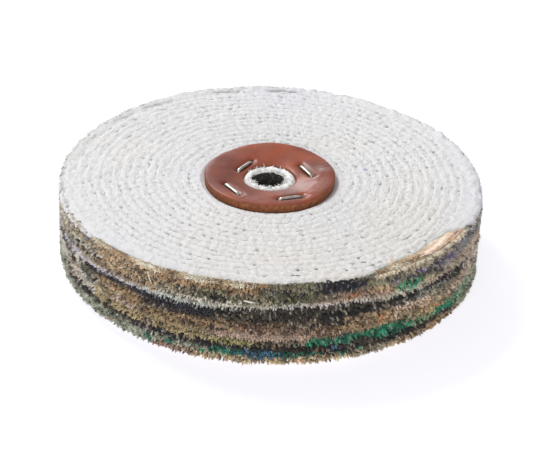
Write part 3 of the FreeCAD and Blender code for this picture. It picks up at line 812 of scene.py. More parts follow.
def tuft_block(i, count, per, rng, table, theta=None, v=None, length=(2.1, 3.3), root=0.23, spread=0.20,
               dark=0.16, tone=0.25, lift=-0.02, flecks=0.07, wide=0.55, r_in=0.4, root_shade_tip_light=(0.62, 0.95, 1.12), jitter=1.3, spots=True):
    """Tufts of fibre along the rim of layer i, each a bundle of strands that lean the same way."""
    if theta is None:
        theta = (np.arange(count) + rng.uniform(0, 1, count)) * TAU / count
        rng.shuffle(theta)
    if v is None:
        v = rng.uniform(-0.02, 1.02, count)
    z = layer_z(i, theta, 98.0) * (1 - v) + layer_z(i + 1, theta, 98.0) * v
    deg = (np.degrees(theta) + 180) % 360 - 180
    col = patch_colors(table, deg, rng, jitter)
    if spots:
        for sd, sz, wd, hz, name, chance in SPOTS:
            near = ((deg - sd) / wd) ** 2 + ((z - sz) / hz) ** 2 + rng.normal(0, 0.25, count) < 1.0
            hit = near & (rng.uniform(0, 1, count) < chance)
            col[hit] = C[name]
    fl = rng.uniform(0, 1, count) < flecks
    fleck_rgb = np.array([C[k] for k in FLECKS], float)
    col[fl] = 0.45 * col[fl] + 0.55 * fleck_rgb[rng.integers(0, len(FLECKS), int(fl.sum()))]
    col = lin(col)
    blot = noise(theta * 98.0 / 1.9, z / 1.9, 3.0, 77) + 0.7 * noise(theta * 98.0 / 4.6, z / 3.2, 7.0, 78)
    shade = np.exp(rng.normal(0, tone * 0.75, count) + tone * 1.25 * blot)
    shade = np.where(rng.uniform(0, 1, count) + 0.25 * np.clip(blot, -1, 1) < dark, shade * 0.42, shade)
    col = col * shade[:, None]
    pale = (rng.uniform(0, 1, count) < 0.08)[:, None]
    col = np.where(pale, col * 0.55 + lin((205, 196, 180)) * 0.45, col)
    frame_er = np.stack([np.cos(theta), np.sin(theta), 0 * theta], 1)
    et = np.stack([-np.sin(theta), np.cos(theta), 0 * theta], 1)
    ez = np.tile([[0.0, 0.0, 1.0]], (count, 1))
    d = (frame_er + et * rng.normal(0, spread * 0.55, count)[:, None]
         + ez * (lift + rng.normal(-0.06, spread, count))[:, None])
    d /= np.linalg.norm(d, axis=1, keepdims=True)
    L = rng.uniform(*length, count)
    rep = lambda a: np.repeat(a, per, 0)
    n = count * per
    D, ER, ET, EZ, LL, cc, zz, th = rep(d), rep(frame_er), rep(et), rep(ez), rep(L), rep(col), rep(z), rep(theta)
    rho, ang = wide * np.sqrt(rng.uniform(0, 1, n)), rng.uniform(0, TAU, n)
    off = ET * (rho * np.cos(ang) * 0.75)[:, None] + EZ * (rho * np.sin(ang) * 1.15)[:, None]
    r_in = np.repeat(np.broadcast_to(r_in, (count,)), per)
    p0 = ER * (rim_r(th, zz, i) - r_in)[:, None] + EZ * zz[:, None] + off
    LL = LL * rng.uniform(0.72, 1.08, n) * (1.0 - 0.22 * (rho / max(wide, 1e-6)) ** 2)
    side = ET * rng.normal(0, 0.07, n)[:, None] + EZ * rng.normal(-0.02, 0.12, n)[:, None]
    p1 = p0 + (D + side * 0.6) * (LL * 0.78)[:, None] + off * 0.10
    p2 = p0 + (D + side) * LL[:, None] - off * 0.12 + rng.normal(0, 0.10, (n, 3))
    rad = np.stack([rng.uniform(0.8, 1.1, n) * root, rng.uniform(0.8, 1.15, n) * root, np.full(n, 0.02)], 1)
    cc = cc * np.exp(rng.normal(0, 0.12, (n, 1)))
    return strands(np.stack([p0, p1, p2], 1), rad, np.clip(cc, 0.003, 0.9), root_shade_tip_light)


def bore_tufts(i, count, per, rng, table, length=(0.7, 1.6)):
    theta = rng.uniform(0, TAU, count)
    v = rng.uniform(0.05, 0.95, count)
    z = layer_z(i, theta, 8.0) * (1 - v) + layer_z(i + 1, theta, 8.0) * v
    cols = np.array([lin(C[c]) for c in ("charcoal", "dark_brown", "black", "brown_grey", "grey", "olive_dark", "pale_grey")])
    col = cols[np.minimum(rng.integers(0, 9, count), 6)] * 0.0 + cols[rng.integers(0, 7, count)] * np.exp(rng.normal(-0.1, 0.3, (count, 1)))
    n = count * per
    rep = lambda a: np.repeat(a, per, 0)
    th, zz, cc = rep(theta), rep(z), rep(col)
    er = np.stack([np.cos(th), np.sin(th), 0 * th], 1)
    et = np.stack([-np.sin(th), np.cos(th), 0 * th], 1)
    ez = np.tile([[0.0, 0.0, 1.0]], (n, 1))
    p0 = er * 8.2 + et * rng.normal(0, 0.3, n)[:, None] + ez * (zz + rng.normal(0, 0.3, n))[:, None]
    d = -er * 0.6 + et * rng.normal(0, 0.5, n)[:, None] + ez * rng.normal(0.1, 0.5, n)[:, None]
    d /= np.linalg.norm(d, axis=1, keepdims=True)
    L = rng.uniform(*length, n)
    p1 = p0 + d * (0.5 * L)[:, None]
    p2 = p0 + d * L[:, None] + et * rng.normal(0, 0.2, n)[:, None]
    rad = np.stack([np.full(n, 0.17), np.full(n, 0.13), np.full(n, 0.02)], 1)
    return strands(np.stack([p0, p1, p2], 1), rad, np.clip(cc, 0.002, 0.9))


def rag_layer(i, table, seed, columns=420, count=1500, per=9):
    rng = np.random.default_rng(seed)
    theta = np.arange(columns) * TAU / columns
    radii_in = [8.0, 8.6, 14.0, 24.0, 40.0, 58.0, 72.0, 84.0, 90.0, 93.0, 95.0]
    eps = 0.03
    rows = []
    for r in radii_in:                      # upper face, outwards
        rows.append((np.full(columns, r), layer_z(i, theta, r) - eps))
    zt, zb = layer_z(i, theta, 97.0), layer_z(i + 1, theta, 97.0)
    for t in (0.0, 0.18, 0.38, 0.62, 0.82, 1.0):   # cut edge
        zz = zt * (1 - t) + zb * t - (eps if t == 0 else 0) + (eps if t == 1 else 0)
        rr = rim_r(theta, zz, i) - 0.5 * (abs(t - 0.5) * 2) ** 4
        rows.append((rr, zz))
    for r in radii_in[::-1]:                # lower face, inwards
        rows.append((np.full(columns, r), layer_z(i + 1, theta, r) + eps))
    R = np.array([a for a, _ in rows])
    Z = np.array([b for _, b in rows])
    X, Y = R * np.cos(theta), R * np.sin(theta)
    verts = np.stack([X, Y, Z], -1).reshape(-1, 3)
    deg = (np.degrees(theta) + 180) % 360 - 180
    col = np.stack([lin(patch_colors(table, deg, rng, 1.0)) for _ in rows])
    # painted shade: the cloth under the tufts is darkened to about half, as shadow in the gaps between them
    col = col * (0.50 + 0.22 * fbm(X / 2.0, Y / 2.0, Z / 2.0, seed + 1, 2))[..., None]
    # painted shade: inside the bore the rag is coloured a flat dark brown for the shade down the hole
    bore = (R < 9.0)[..., None]
    patch = noise(X / 2.2, Y / 2.2, Z / 1.6, seed + 3)[..., None]
    col = np.where(bore, lin((50, 44, 40)) * (1.0 + 0.7 * patch), col)
    quads = grid_quads(len(rows), columns, closed=True)
    parts = [(verts, quads, None, np.clip(col, 0.002, 0.9).reshape(-1, 3))]
    parts.append(tuft_block(i, count, per, rng, table))
    parts.append(bore_tufts(i, 70, 3, rng, table))
    return parts, rng


RAG_INDEX = [i for i, k in enumerate(LAYER_KIND) if k == "rag"]
COVER_INDEX = [i for i, k in enumerate(LAYER_KIND) if k == "cover"]


def finish_piece(ob, mat, cad_node):
    ob.data.materials.append(mat)
    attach(ob, "root")
    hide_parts(cad_node)
    return ob


def radial_strands(theta, r0, z0, length, rng, out=1.0, around=0.4, up=(0.0, 0.3), root=0.15, colors=None, root_shade_tip_light=(0.8, 1.0, 1.08)):
    """Loose fibres from points (theta, r0, z0)."""
    n = len(theta)
    er = np.stack([np.cos(theta), np.sin(theta), 0 * theta], 1)
    et = np.stack([-np.sin(theta), np.cos(theta), 0 * theta], 1)
    ez = np.tile([[0.0, 0.0, 1.0]], (n, 1))
    p0 = er * np.asarray(r0)[:, None] + ez * np.asarray(z0)[:, None]
    d = er * out + et * rng.normal(0, around, n)[:, None] + ez * rng.normal(up[0], up[1], n)[:, None]
    d /= np.linalg.norm(d, axis=1, keepdims=True)
    L = rng.uniform(length[0], length[1], n)[:, None]
    p1 = p0 + d * L * 0.5 + rng.normal(0, 0.07, (n, 3))
    p2 = p0 + d * L + rng.normal(0, 0.25, (n, 3))
    rad = np.stack([np.full(n, root), np.full(n, root * 0.85), np.full(n, 0.02)], 1)
    return strands(np.stack([p0, p1, p2], 1), rad, np.clip(colors, 0.003, 0.95), root_shade_tip_light)


def ledge(rng, seed=300, columns=300, rows=15):
    """The rag bared where the uppermost cover is cut short: a peach cloth lying in folds."""
    deg = np.linspace(-59.5, -21.5, columns)
    th = np.radians(deg)
    t = np.linspace(0, 1, rows)[:, None]
    ends = smooth(0.0, 0.14, (deg + 59.5) / 38.0) * smooth(1.0, 0.95, (deg + 59.5) / 38.0)
    r_in = ring_table(deg, SHORT) - 2.4
    r_out = 97.6 + 2.0 * smooth(-42.0, -27.0, deg) + 0.5 * noise(deg / 3.1, 0, 0, seed) + 0.3 * noise(deg / 0.9, 0, 0, seed + 1)
    R = r_in + (r_out - r_in) * t
    A = np.radians(deg)[None, :] * 95.0 + 0 * t
    fold = 0.50 * noise(A / 9.0 + R / 5.0, R / 2.3, 0, seed + 2) + 0.28 * noise(A / 4.0, R / 0.9, 0, seed + 3) + 0.12 * noise(A / 1.4, R / 0.8, 0, seed + 4)
    Z = 19.25 + (fold + 0.15) * ends - 1.1 * (1 - ends) - 0.9 * smooth(0.78, 1.0, t) - 0.5 * smooth(0.2, 0.0, t)
    X, Y = R * np.cos(th), R * np.sin(th)
    top = np.stack([X, Y, Z], -1)
    low = np.stack([X, Y, np.minimum(Z - 0.35, 18.6)], -1)
    verts = np.concatenate([top.reshape(-1, 3), low.reshape(-1, 3)])
    i = np.arange(rows - 1)[:, None]
    j = np.arange(columns - 1)[None, :]
    q = np.stack([(i * columns + j).ravel(), ((i + 1) * columns + j).ravel(),
                  ((i + 1) * columns + j + 1).ravel(), (i * columns + j + 1).ravel()], 1)
    n = rows * columns
    quads = [q, q[:, ::-1] + n]
    edge = []
    k = np.arange(columns - 1)
    edge.append(np.stack([k, k + 1, k + 1 + n, k + n], 1))
    k2 = (rows - 1) * columns + np.arange(columns - 1)
    edge.append(np.stack([k2 + 1, k2, k2 + n, k2 + 1 + n], 1))
    m = np.arange(rows - 1) * columns
    edge.append(np.stack([m + columns, m, m + n, m + columns + n], 1))
    m2 = m + columns - 1
    edge.append(np.stack([m2, m2 + columns, m2 + columns + n, m2 + n], 1))
    # painted shade: dark crease lines, the hollows of the folds and the strip under the cover's edge are coloured a
    # darker brown
    crease_shade_lines = smooth(-0.05, -0.50, noise(A / 7.0, R / 0.75, 3.0, seed + 5))[..., None]
    deep = smooth(0.0, -0.45, fold)[..., None]
    tan = smooth(0.1, 0.6, noise(A / 5.0, R / 2.0, 5.0, seed + 6))[..., None]
    col = lin((242, 222, 200)) + (lin((234, 206, 178)) - lin((242, 222, 200))) * tan
    inner = smooth(0.30, 0.12, t)[..., None] * smooth(0.10, -0.25, noise(A / 3.5, 0, 0, seed + 7))[..., None]
    crease_shade_lines = np.maximum(crease_shade_lines * 0.75, inner * 0.6)
    col = col + (lin((178, 128, 92)) - col) * np.clip(crease_shade_lines * 0.8 + deep * 0.5, 0, 0.85)
    near = (0.75 * smooth(-44.0, -50.0, deg))[None, :, None] * smooth(0.15, 0.55, t)[..., None]
    col = col + (lin((150, 130, 96)) - col) * near
    # painted shade: the underside is the top's colour made a fifth darker
    col = np.concatenate([col.reshape(-1, 3), col.reshape(-1, 3) * 0.8])
    return verts, np.concatenate(quads + edge), None, col


def fringe_piece(name, parts, mat, suffix):
    v, q, t, c = merge(parts)
    ob = new_mesh(name + suffix, v, quads=q, tris=t, tint=c)
    ob.data.materials.append(mat)
    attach(ob, "root")
    return ob


def polar(r, deg, z):
    return [r * math.cos(math.radians(deg)), r * math.sin(math.radians(deg)), z]


for n, i in enumerate(RAG_INDEX):
    name = LAYER_NAMES[i]
    parts, rng = rag_layer(i, RAG[n], 100 + n)
    loose = []
    if i == 1:
        parts.append(ledge(rng))
        # fluff standing up past the white cover's edge
        cnt = 560
        th = np.radians(rng.uniform(-142.0, -24.0, cnt))
        loose.append(tuft_block(i, cnt, 6, rng, FLUFF, theta=th, v=rng.uniform(-0.12, 0.12, cnt), length=(1.8, 2.9), lift=0.32, spread=0.25, wide=0.45, dark=0.04, tone=0.15, flecks=0.03, spots=False))
        cnt = 900
        th = rng.uniform(-136.0, -62.0, cnt)
        back = np.clip(rim_r(np.radians(th), 19.0, 1) - ring_table(th, SHORT) - 0.2, 0.3, 5.0)
        loose.append(tuft_block(i, cnt, 6, rng, FLUFF, theta=np.radians(th), v=rng.uniform(-0.30, 0.10, cnt), length=(1.5, 2.5), lift=0.55, spread=0.25,
                                wide=0.5, dark=0.03, tone=0.17, flecks=0.04, r_in=0.3 + (back - 0.3) * rng.uniform(0, 1, cnt), spots=True))
        cnt = 240
        th = rng.uniform(-60.0, -22.0, cnt)
        loose.append(tuft_block(i, cnt, 6, rng, [(-180, "tan"), (-52, "cream"), (-44, "grey_tan"), (-38, "cream"), (-31, "peach"), (-26, "cream_grey")], theta=np.radians(th),
                                v=rng.uniform(-0.16, 0.10, cnt), length=(1.2, 2.3), lift=0.2, wide=0.4, dark=0.02, tone=0.12, flecks=0.1, spots=False))
        cnt = 150
        th = rng.uniform(-60.0, -44.0, cnt)
        loose.append(tuft_block(i, cnt, 6, rng, [(-180, "tan"), (-55, "cream"), (-50, "tan")], theta=np.radians(th), r_in=rng.uniform(0.5, 4.5, cnt),
                                v=rng.uniform(-0.12, 0.0, cnt), length=(1.2, 2.0), lift=0.5, wide=0.45, dark=0.02, tone=0.15, flecks=0.06, spots=False))
        # a stray fibre and a snippet of white thread caught in the pile
        pts = np.array([[polar(100.6, -121.2, 18.2), polar(101.4, -120.3, 15.4), polar(100.8, -119.4, 11.8)],
                        [polar(100.9, -95.2, 14.0), polar(101.3, -93.4, 13.7), polar(100.9, -91.4, 13.3)]])
        loose.append(strands(pts, np.array([[0.26, 0.26, 0.05], [0.62, 0.62, 0.30]]), np.array([lin((246, 232, 200)), lin((226, 224, 214))]), (1.0, 1.0, 1.0)))
    if i == RAG_INDEX[-1]:
        # the lowest tufts are pressed out over the bottom cover by the wheel's weight
        cnt = 900
        loose.append(tuft_block(i, cnt, 6, rng, RAG[n], v=rng.uniform(0.75, 1.20, cnt), length=(1.8, 2.8), lift=-0.06, wide=0.4, dark=0.05))
    v, q, t, c = merge(parts)
    finish_piece(new_mesh(name + "_cloth", v, quads=q, tris=t, tint=c), M_RAG, name)
    if loose:
        fringe_piece(name, loose, M_RAG, "_fringe")


FACE_SEED = {0: 61, 5: 62, 6: 63, 11: 64, 12: 65, 17: 66}


def inner_cover(i, seed, columns=480):
    """A cover hidden between two sections: only its cut edge and its bore edge show."""
    theta = np.arange(columns) * TAU / columns
    radii = [8.05, 8.6, 14.0, 26.0, 42.0, 60.0, 76.0, 88.0, 94.0]
    rows = []
    eps = 0.02
    for r in radii:
        rows.append((np.full(columns, r), layer_z(i, theta, r) - eps))
    zt, zb = layer_z(i, theta, 97.0), layer_z(i + 1, theta, 97.0)
    for t in (0.0, 0.35, 0.65, 1.0):
        zz = zt * (1 - t) + zb * t
        rr = rim_r(theta, zz, i) + 0.2 - 0.5 * (abs(t - 0.5) * 2) ** 2
        rows.append((rr, zz))
    for r in radii[::-1]:
        rows.append((np.full(columns, r), layer_z(i + 1, theta, r) + eps))
    R = np.array([a for a, _ in rows])
    Z = np.array([b for _, b in rows])
    X, Y = R * np.cos(theta), R * np.sin(theta)
    verts = np.stack([X, Y, Z], -1).reshape(-1, 3)
    rng = np.random.default_rng(seed)
    deg = (np.degrees(theta) + 180) % 360 - 180
    table = COVER[COVER_INDEX.index(i)]
    col = np.stack([lin(patch_colors(table, deg, rng, 1.5)) for _ in rows])
    # painted shade: the cut edge under the tufts is darkened, as shadow in the gaps between them
    col = col * (0.62 + 0.15 * fbm(X / 3, Y / 3, Z / 2, seed, 2))[..., None]
    return verts, grid_quads(len(rows), columns, closed=True), None, col.reshape(-1, 3)


for n, i in enumerate(COVER_INDEX):
    name = LAYER_NAMES[i]
    table = COVER[n]
    rng = np.random.default_rng(700 + i)
    if i in (0, 17):
        sign = 1 if i == 0 else -1
        z_face = TOP if i == 0 else BOTTOM
        ob = cover_face(name + "_cloth", sign, FACE_SEED[i], 1120 if i == 0 else 640, 0.55 if i == 0 else 1.05,
                        z_face, short=(i == 0), puff=PUFF)
        finish_piece(ob, M_COVER, name)
        th = rng.uniform(0, TAU, 4200)
        dg = (np.degrees(th) + 180) % 360 - 180
        if i == 0:
            # the back edge is turned over and has few loose ends
            th = th[(dg < 48) | (rng.uniform(0, 1, 4200) < 0.22)]
            dg = (np.degrees(th) + 180) % 360 - 180
        cnt = len(th)
        e = ring_table(dg, SHORT) if i == 0 else np.full(cnt, 96.4)
        w = ring_table(dg, WRAP) if i == 0 else np.full(cnt, 0.1)
        col = lin(patch_colors(table, dg, rng)) * np.exp(rng.normal(0, 0.06, (cnt, 1)))
        lip = ring_table(dg, LIP) if i == 0 else np.zeros(cnt)
        z0 = z_face + sign * (lip * 0.8 - rng.uniform(0.0, 0.9, cnt) - w * rng.uniform(0.1, 1.0, cnt))
        edge_part = radial_strands(th, e - 0.1, z0, (0.6, 1.7), rng, around=0.45, up=(-0.12 * sign, 0.35), root=0.13, colors=col)
        # torn cotton standing round the bore
        cnt = 300
        th = rng.uniform(0, TAU, cnt)
        r0 = rng.uniform(8.2, 11.6, cnt)
        r0 = r0 + bore_shift(th, FACE_SEED[i]) * smooth(12.6, 9.0, r0)
        col = np.tile(lin((246, 246, 244)), (cnt, 1)) * np.exp(rng.normal(-0.03, 0.09, (cnt, 1)))
        z0 = z_face + sign * (cloth_base(r0) + 0.05)
        inward = np.where(r0 < 9.6, -0.8, rng.uniform(-0.6, 0.6, cnt))
        er = np.stack([np.cos(th), np.sin(th), 0 * th], 1)
        et = np.stack([-np.sin(th), np.cos(th), 0 * th], 1)
        p0 = er * r0[:, None] + np.array([0, 0, 1.0]) * z0[:, None]
        d = er * inward[:, None] + et * rng.normal(0, 1.0, cnt)[:, None] + np.array([0, 0, 1.0 * sign]) * rng.uniform(-0.1, 0.45, cnt)[:, None]
        d /= np.linalg.norm(d, axis=1, keepdims=True)
        L = rng.uniform(1.0, 2.8, cnt)[:, None]
        p1 = p0 + d * L * 0.5 + np.array([0, 0, 0.15 * sign])
        p2 = p0 + d * L + rng.normal(0, 0.3, (cnt, 3)) - np.array([0, 0, 0.35 * sign])
        rad = np.stack([np.full(cnt, 0.17), np.full(cnt, 0.19), np.full(cnt, 0.03)], 1)
        bore_part = strands(np.stack([p0, p1, p2], 1), rad, np.clip(col, 0.01, 0.9), (0.9, 1.0, 1.05))
        lint = [edge_part, bore_part]
        if i == 0:
            # lint along the back edge, and cream ends hanging over the front one
            cnt = 520
            dg = rng.uniform(55.0, 200.0, cnt)
            col = lin(np.array([[243.0, 244.0, 240.0]])) * np.exp(rng.normal(-0.03, 0.07, (cnt, 1)))
            lint.append(radial_strands(np.radians(dg), ring_table(dg, SHORT) - rng.uniform(0.2, 1.6, cnt), TOP + ring_table(dg, LIP) * 0.8 + rng.uniform(-0.6, 0.1, cnt),
                                       (0.9, 2.4), rng, around=1.0, up=(0.02, 0.2), root=0.12, colors=col, root_shade_tip_light=(0.95, 1.0, 1.05)))
            cnt = 1250
            dg = rng.uniform(-141.0, -66.0, cnt)
            mixc = rng.uniform(0, 1, (cnt, 1))
            col = (lin((232, 222, 196)) * mixc + lin((214, 186, 142)) * (1 - mixc)) * np.exp(rng.normal(0, 0.08, (cnt, 1)))
            lint.append(radial_strands(np.radians(dg), ring_table(dg, SHORT) - rng.uniform(-0.2, 0.7, cnt), TOP - rng.uniform(0.2, 1.0, cnt),
                                       (1.0, 2.6), rng, around=0.35, up=(-0.15, 0.45), root=0.14, colors=col))
        fringe_piece(name, lint, M_LINT, "_fray")
    else:
        bold = n in (1, 2)
        fr = tuft_block(i, 1500 if bold else 1000, 7, rng, table, length=(2.1, 3.2) if bold else (1.5, 2.7), root=0.17, spread=0.35,
                        dark=0.04, tone=0.13, flecks=0.03, wide=0.42, spots=False, root_shade_tip_light=(0.62, 0.98, 1.1), v=rng.uniform(-0.35, 1.35, 1500) if bold else None)
        v, q, t, c = merge([inner_cover(i, FACE_SEED[i]), fr])
        finish_piece(new_mesh(name + "_cloth", v, quads=q, tris=t, tint=c), M_COVER, name)

# ---------------------------------------------------------------- sewing threads
for n, sec in enumerate(("upper", "middle", "lower")):
    for side, sign, layer in (("needle", 1, n * 6), ("bobbin", -1, n * 6 + 5)):
        cad = "%s_section_%s_thread" % (sec, side)
        seen = layer in (0, 17)
        if seen:
            ob = stitches(cad + "_stitches", sign, FACE_SEED[layer], TOP if layer == 0 else BOTTOM, PUFF)
        else:
            z_face = Z_NOM[layer] if sign > 0 else Z_NOM[layer + 1]
            ob = stitches(cad + "_stitches", sign, FACE_SEED[layer], z_face - sign * 0.25, 0.2, segs=3, sides=4, lift=0.0)
        finish_piece(ob, M_THREAD, cad)


# ---------------------------------------------------------------- leather washers
WARP = [(-178, -0.2), (-150, -0.1), (-120, 0.1), (-95, 0.2), (-60, -0.1), (-35, 0.2), (-14, 0.25), (-6, 0.4), (0, 0.65), (4, 0.85), (8, 0.9), (12, 0.75), (17, 0.45), (23, 0.2), (30, 0.05), (45, 0.0), (65, 0.3), (88, 0.6), (108, 0.1), (130, -0.7), (152, -0.6), (170, -0.3)]


def leather(name, sign, seed, columns=300):
    theta = np.arange(columns) * TAU / columns
    x1, y1 = np.cos(theta), np.sin(theta)
    out = LEATHER_R + 0.16 * noise(x1 * 1.6, y1 * 1.6, seed, seed) + 0.05 * noise(x1 * 9, y1 * 9, seed, seed + 1)
    eye = LEATHER_EYE_R + 0.22 * noise(x1 * 2.2, y1 * 2.2, seed + 4, seed + 2) + 0.07 * noise(x1 * 6, y1 * 6, seed + 4, seed + 3)
    rows, cut = [], []

    def top_z(r, R=None):
        z = dish(r)
        x, y = r * x1, r * y1
        z = z + 0.16 * noise(x / 14, y / 14, seed, seed + 5) + 0.05 * noise(x / 5, y / 5, seed, seed + 6)
        # the rim lifts where the staples don't hold it
        z = z + smooth(15, 31, r) * ring_table(np.degrees(theta), WARP)
        for sx, sy, deg in STAPLES:
            c, s = math.cos(math.radians(deg)), math.sin(math.radians(deg))
            u, v = (x - sx) * c + (y - sy) * s, -(x - sx) * s + (y - sy) * c
            over = np.maximum(np.abs(u) - 5.6, 0)
            z = z - 1.15 * np.exp(-((over / 2.2) ** 2 + (v / 2.1) ** 2))
            for e in (-5.9, 5.9):
                z = z - 0.3 * np.exp(-(((u - e) / 1.4) ** 2 + (v / 1.3) ** 2))
        return z

    def add(r, z, c):
        rows.append((r * np.ones(columns), z * np.ones(columns)))
        cut.append(np.full(columns, c))

    zi, zo = top_z(eye), top_z(out)
    ti, to = leather_thick(12.6), leather_thick(31.1)
    # eye wall from below, then the top face outwards, the outer wall, and the flesh side back
    add(eye + 0.05, zi - ti, 1.0)
    add(eye - 0.02, zi - ti * 0.75, 1.0)
    add(eye + 0.02, zi - ti * 0.45, 1.0)
    add(eye + 0.00, zi - 0.55, 0.9)
    add(eye + 0.12, zi - 0.20, 0.6)
    add(eye + 0.38, top_z(eye + 0.38) - 0.03, 0.25)
    for r in np.linspace(13.4, 30.2, 44):
        t = (r - 13.4) / (30.2 - 13.4)
        rr = (eye + 0.8) * (1 - t) + (out - 0.95) * t
        add(rr, top_z(rr), 0.0)
    add(out - 0.45, top_z(out - 0.45) - 0.08, 0.05)
    add(out - 0.14, zo - 0.32, 0.35)
    add(out + 0.00, zo - 0.75, 0.75)
    add(out + 0.06, zo - 1.3, 0.9)
    add(out + 0.02, zo - 2.0, 1.0)
    add(out - 0.08, zo - to + 0.25, 1.0)
    add(out - 0.35, zo - to, 1.0)
    for r in (27.0, 22.0, 17.0):
        add(np.full(columns, r), top_z(np.full(columns, r)) - leather_thick(r), 1.0)
    R = np.array([a for a, _ in rows])
    Z = np.array([b for _, b in rows])
    CUT = np.array(cut)
    X, Y = R * x1, R * y1
    base = TOP if sign > 0 else BOTTOM
    verts = np.stack([X, Y, base + sign * Z], -1).reshape(-1, 3)
    warm, dark, red = lin((134, 70, 52)), lin((108, 56, 44)), lin((150, 76, 52))
    n1 = fbm(X / 9, Y / 9, seed, seed + 9, 3)
    col = warm + (red - warm) * smooth(0.0, 0.6, n1)[..., None] + (dark - warm) * smooth(0.0, 0.6, -n1)[..., None] * 0.7
    # painted shade: the left part of the leather's face is darkened by about a quarter
    painted_left_shade = (smooth(-9.0, -27.0, X) * smooth(26.0, 10.0, np.abs(Y)))[..., None]
    col = col * (1 - 0.26 * painted_left_shade)
    # painted shade in the staple dimples, darkest in the holes where the legs go in
    for sx, sy, dg in STAPLES:
        c, sn = math.cos(math.radians(dg)), math.sin(math.radians(dg))
        u, v = (X - sx) * c + (Y - sy) * sn, -(X - sx) * sn + (Y - sy) * c
        near = np.exp(-((np.maximum(np.abs(u) - 5.0, 0) / 1.3) ** 2 + (v / 1.5) ** 2)) * 0.60
        for e in (-6.2, 6.2):
            near = np.maximum(near, 0.95 * np.exp(-(((u - e) / 0.95) ** 2 + (v / 0.9) ** 2)))
        col = col * (1 - near * (CUT < 0.1))[..., None]
    q = grid_quads(len(rows), columns, closed=True)
    return new_mesh(name, verts, quads=q[:, ::-1] if sign < 0 else q, tint=col.reshape(-1, 3), extra={"cut": CUT.reshape(-1)})


for cad, sign, seed in (("top_leather_washer", 1, 71), ("bottom_leather_washer", -1, 77)):
    ob = leather(cad + "_disc", sign, seed)
    finish_piece(ob, M_LEATHER, cad)


# ---------------------------------------------------------------- staples
def tube(points, radius, sides=14, flat=1.0):
    p = np.asarray(points, float)
    d = np.gradient(p, axis=0)
    d /= np.linalg.norm(d, axis=1, keepdims=True)
    side = np.array([0.0, 1.0, 0.0])
    up = np.cross(np.tile(side, (len(p), 1)), d)
    up /= np.linalg.norm(up, axis=1, keepdims=True)
    ang = np.arange(sides) * TAU / sides
    ring = (p[:, None] + side * np.cos(ang)[None, :, None] * radius * flat
            + up[:, None, :] * np.sin(ang)[None, :, None] * radius)
    n = len(p)
    verts = np.concatenate([ring.reshape(-1, 3), p[:1], p[-1:]])
    i = np.arange(n - 1)[:, None]
    s = np.arange(sides)[None, :]
    a = (i * sides + s).ravel()
    b = (i * sides + (s + 1) % sides).ravel()
    quads = np.stack([a, b, b + sides, a + sides], 1)
    k = np.arange(sides)
    tris = np.concatenate([np.stack([np.full(sides, n * sides), (k + 1) % sides, k], 1),
                           np.stack([np.full(sides, n * sides + 1), (n - 1) * sides + k, (n - 1) * sides + (k + 1) % sides], 1)])
    return verts, quads, tris


def arc(c, r, a0, a1, n=6):
    t = np.radians(np.linspace(a0, a1, n))
    return [(c[0] + r * math.cos(a), 0.0, c[1] + r * math.sin(a)) for a in t]


for k, (sx, sy, deg) in enumerate(STAPLES, 1):
    r_mid = math.hypot(sx, sy)
    rng = np.random.default_rng(40 + k)
    crown = TOP + float(dish(np.array(r_mid))) - 0.42
    low = BOTTOM - float(dish(np.array(r_mid))) + 0.42
    half, b = 5.7, 1.5
    path = []
    tip = 1.4 + rng.uniform(-0.4, 0.4)
    path += [(-tip, 0, low - 0.05), (-2.6, 0, low), (-half + b, 0, low)]
    path += arc((-half + b, low + b), b, 270, 180)[1:]
    path += [(-half, 0, z) for z in np.linspace(low + b + 2, crown - b - 2, 5)]
    path += arc((-half + b, crown - b), b, 180, 90)
    path += [(x, 0, crown + 0.10 * math.cos(x / 4.4 * math.pi / 2)) for x in np.linspace(-3.6, 3.6, 7)]
    path += arc((half - b, crown - b), b, 90, 0)
    path += [(half, 0, z) for z in np.linspace(crown - b - 2, low + b + 2, 5)]
    path += arc((half - b, low + b), b, 0, -90)[:-1]
    path += [(half - b, 0, low), (2.4, 0, low), (tip - 0.2, 0, low - 0.05)]
    v, q, t = tube(path, 0.66, flat=1.3)
    c, s = math.cos(math.radians(deg)), math.sin(math.radians(deg))
    v = np.stack([sx + v[:, 0] * c - v[:, 1] * s, sy + v[:, 0] * s + v[:, 1] * c, v[:, 2]], 1)
    cad = "wire_staple_%d" % k
    ob = new_mesh(cad + "_wire", v, quads=q, tris=t)
    finish_piece(ob, M_WIRE, cad)

# ---------------------------------------------------------------- stage
bpy.ops.mesh.primitive_plane_add(size=6.0, location=(0, 0, -0.0235))
floor = bpy.context.object
floor.name = "studio_floor"
fm, fnt, fb = material("studio_paper")
fb.inputs["Base Color"].default_value = (0.47, 0.46, 0.55, 1)
fb.inputs["Roughness"].default_value = 0.9
fb.inputs["Specular IOR Level"].default_value = 0.1
fb.inputs["Emission Color"].default_value = (1.0, 1.0, 1.0, 1)
fb.inputs["Emission Strength"].default_value = 0.68
floor.data.materials.append(fm)

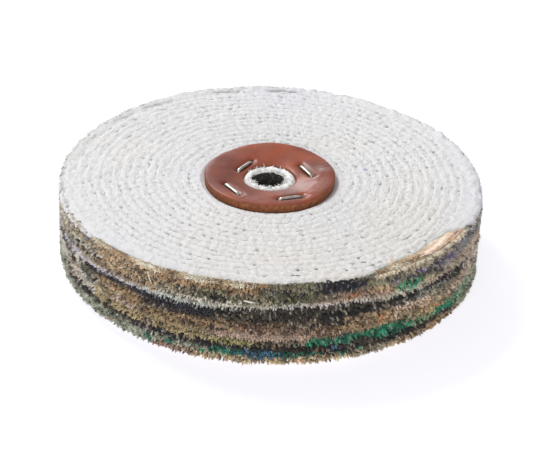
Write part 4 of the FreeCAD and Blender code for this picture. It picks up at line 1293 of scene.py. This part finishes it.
world = bpy.data.worlds.new("studio")
bpy.context.scene.world = world
world.use_nodes = True
bg = world.node_tree.nodes["Background"]
bg.inputs["Color"].default_value = (0.98, 0.98, 1.0, 1)
bg.inputs["Strength"].default_value = 0.50


def area_light(name, loc, target, size, power, color=(1, 1, 1)):
    d = bpy.data.lights.new(name, "AREA")
    d.shape = "RECTANGLE"
    d.size, d.size_y = size
    d.energy = power
    d.color = color
    o = bpy.data.objects.new(name, d)
    bpy.context.scene.collection.objects.link(o)
    loc, target = np.array(loc, float), np.array(target, float)
    z = loc - target
    z /= np.linalg.norm(z)
    up = np.array([0, 0, 1.0]) if abs(z[2]) < 0.98 else np.array([0, 1.0, 0])
    x = np.cross(up, z)
    x /= np.linalg.norm(x)
    y = np.cross(z, x)
    m = np.eye(4)
    m[:3, 0], m[:3, 1], m[:3, 2], m[:3, 3] = x, y, z, loc
    o.matrix_world = Matrix(m.tolist())
    return o


area_light("softbox_key", (-0.76, 0.85, 1.22), (0, 0, 0), (0.6, 0.5), 19.0, (1.0, 0.998, 1.0))
area_light("softbox_front", (-0.1, -1.5, 0.50), (0, 0, 0), (1.6, 0.7), 13.0, (1.0, 0.975, 0.94))
area_light("softbox_back", (-0.42, 2.1, 0.66), (0, 0, 0), (0.55, 0.35), 6.0, (1.0, 1.0, 1.0))

# ---------------------------------------------------------------- camera
cam_data = bpy.data.cameras.new("camera")
cam_data.sensor_width = 36.0
cam_data.lens = 133.333
cam = bpy.data.objects.new("camera", cam_data)
bpy.context.scene.collection.objects.link(cam)
rows = ((0.9992133723, 0.0188171879, 0.0349077367),
        (-0.0396409615, 0.4985715441, 0.8659416895),
        (-0.0011094167, -0.8666442920, 0.4989252853))
cam.matrix_world = Matrix((
    (rows[0][0], rows[1][0], rows[2][0], 0.0),
    (rows[0][1], rows[1][1], rows[2][1], -0.838138),
    (rows[0][2], rows[1][2], rows[2][2], 0.477234),
    (0, 0, 0, 1)))
bpy.context.scene.camera = cam
bpy.context.scene.view_settings.view_transform = "Standard"
bpy.context.scene.view_settings.look = "None"
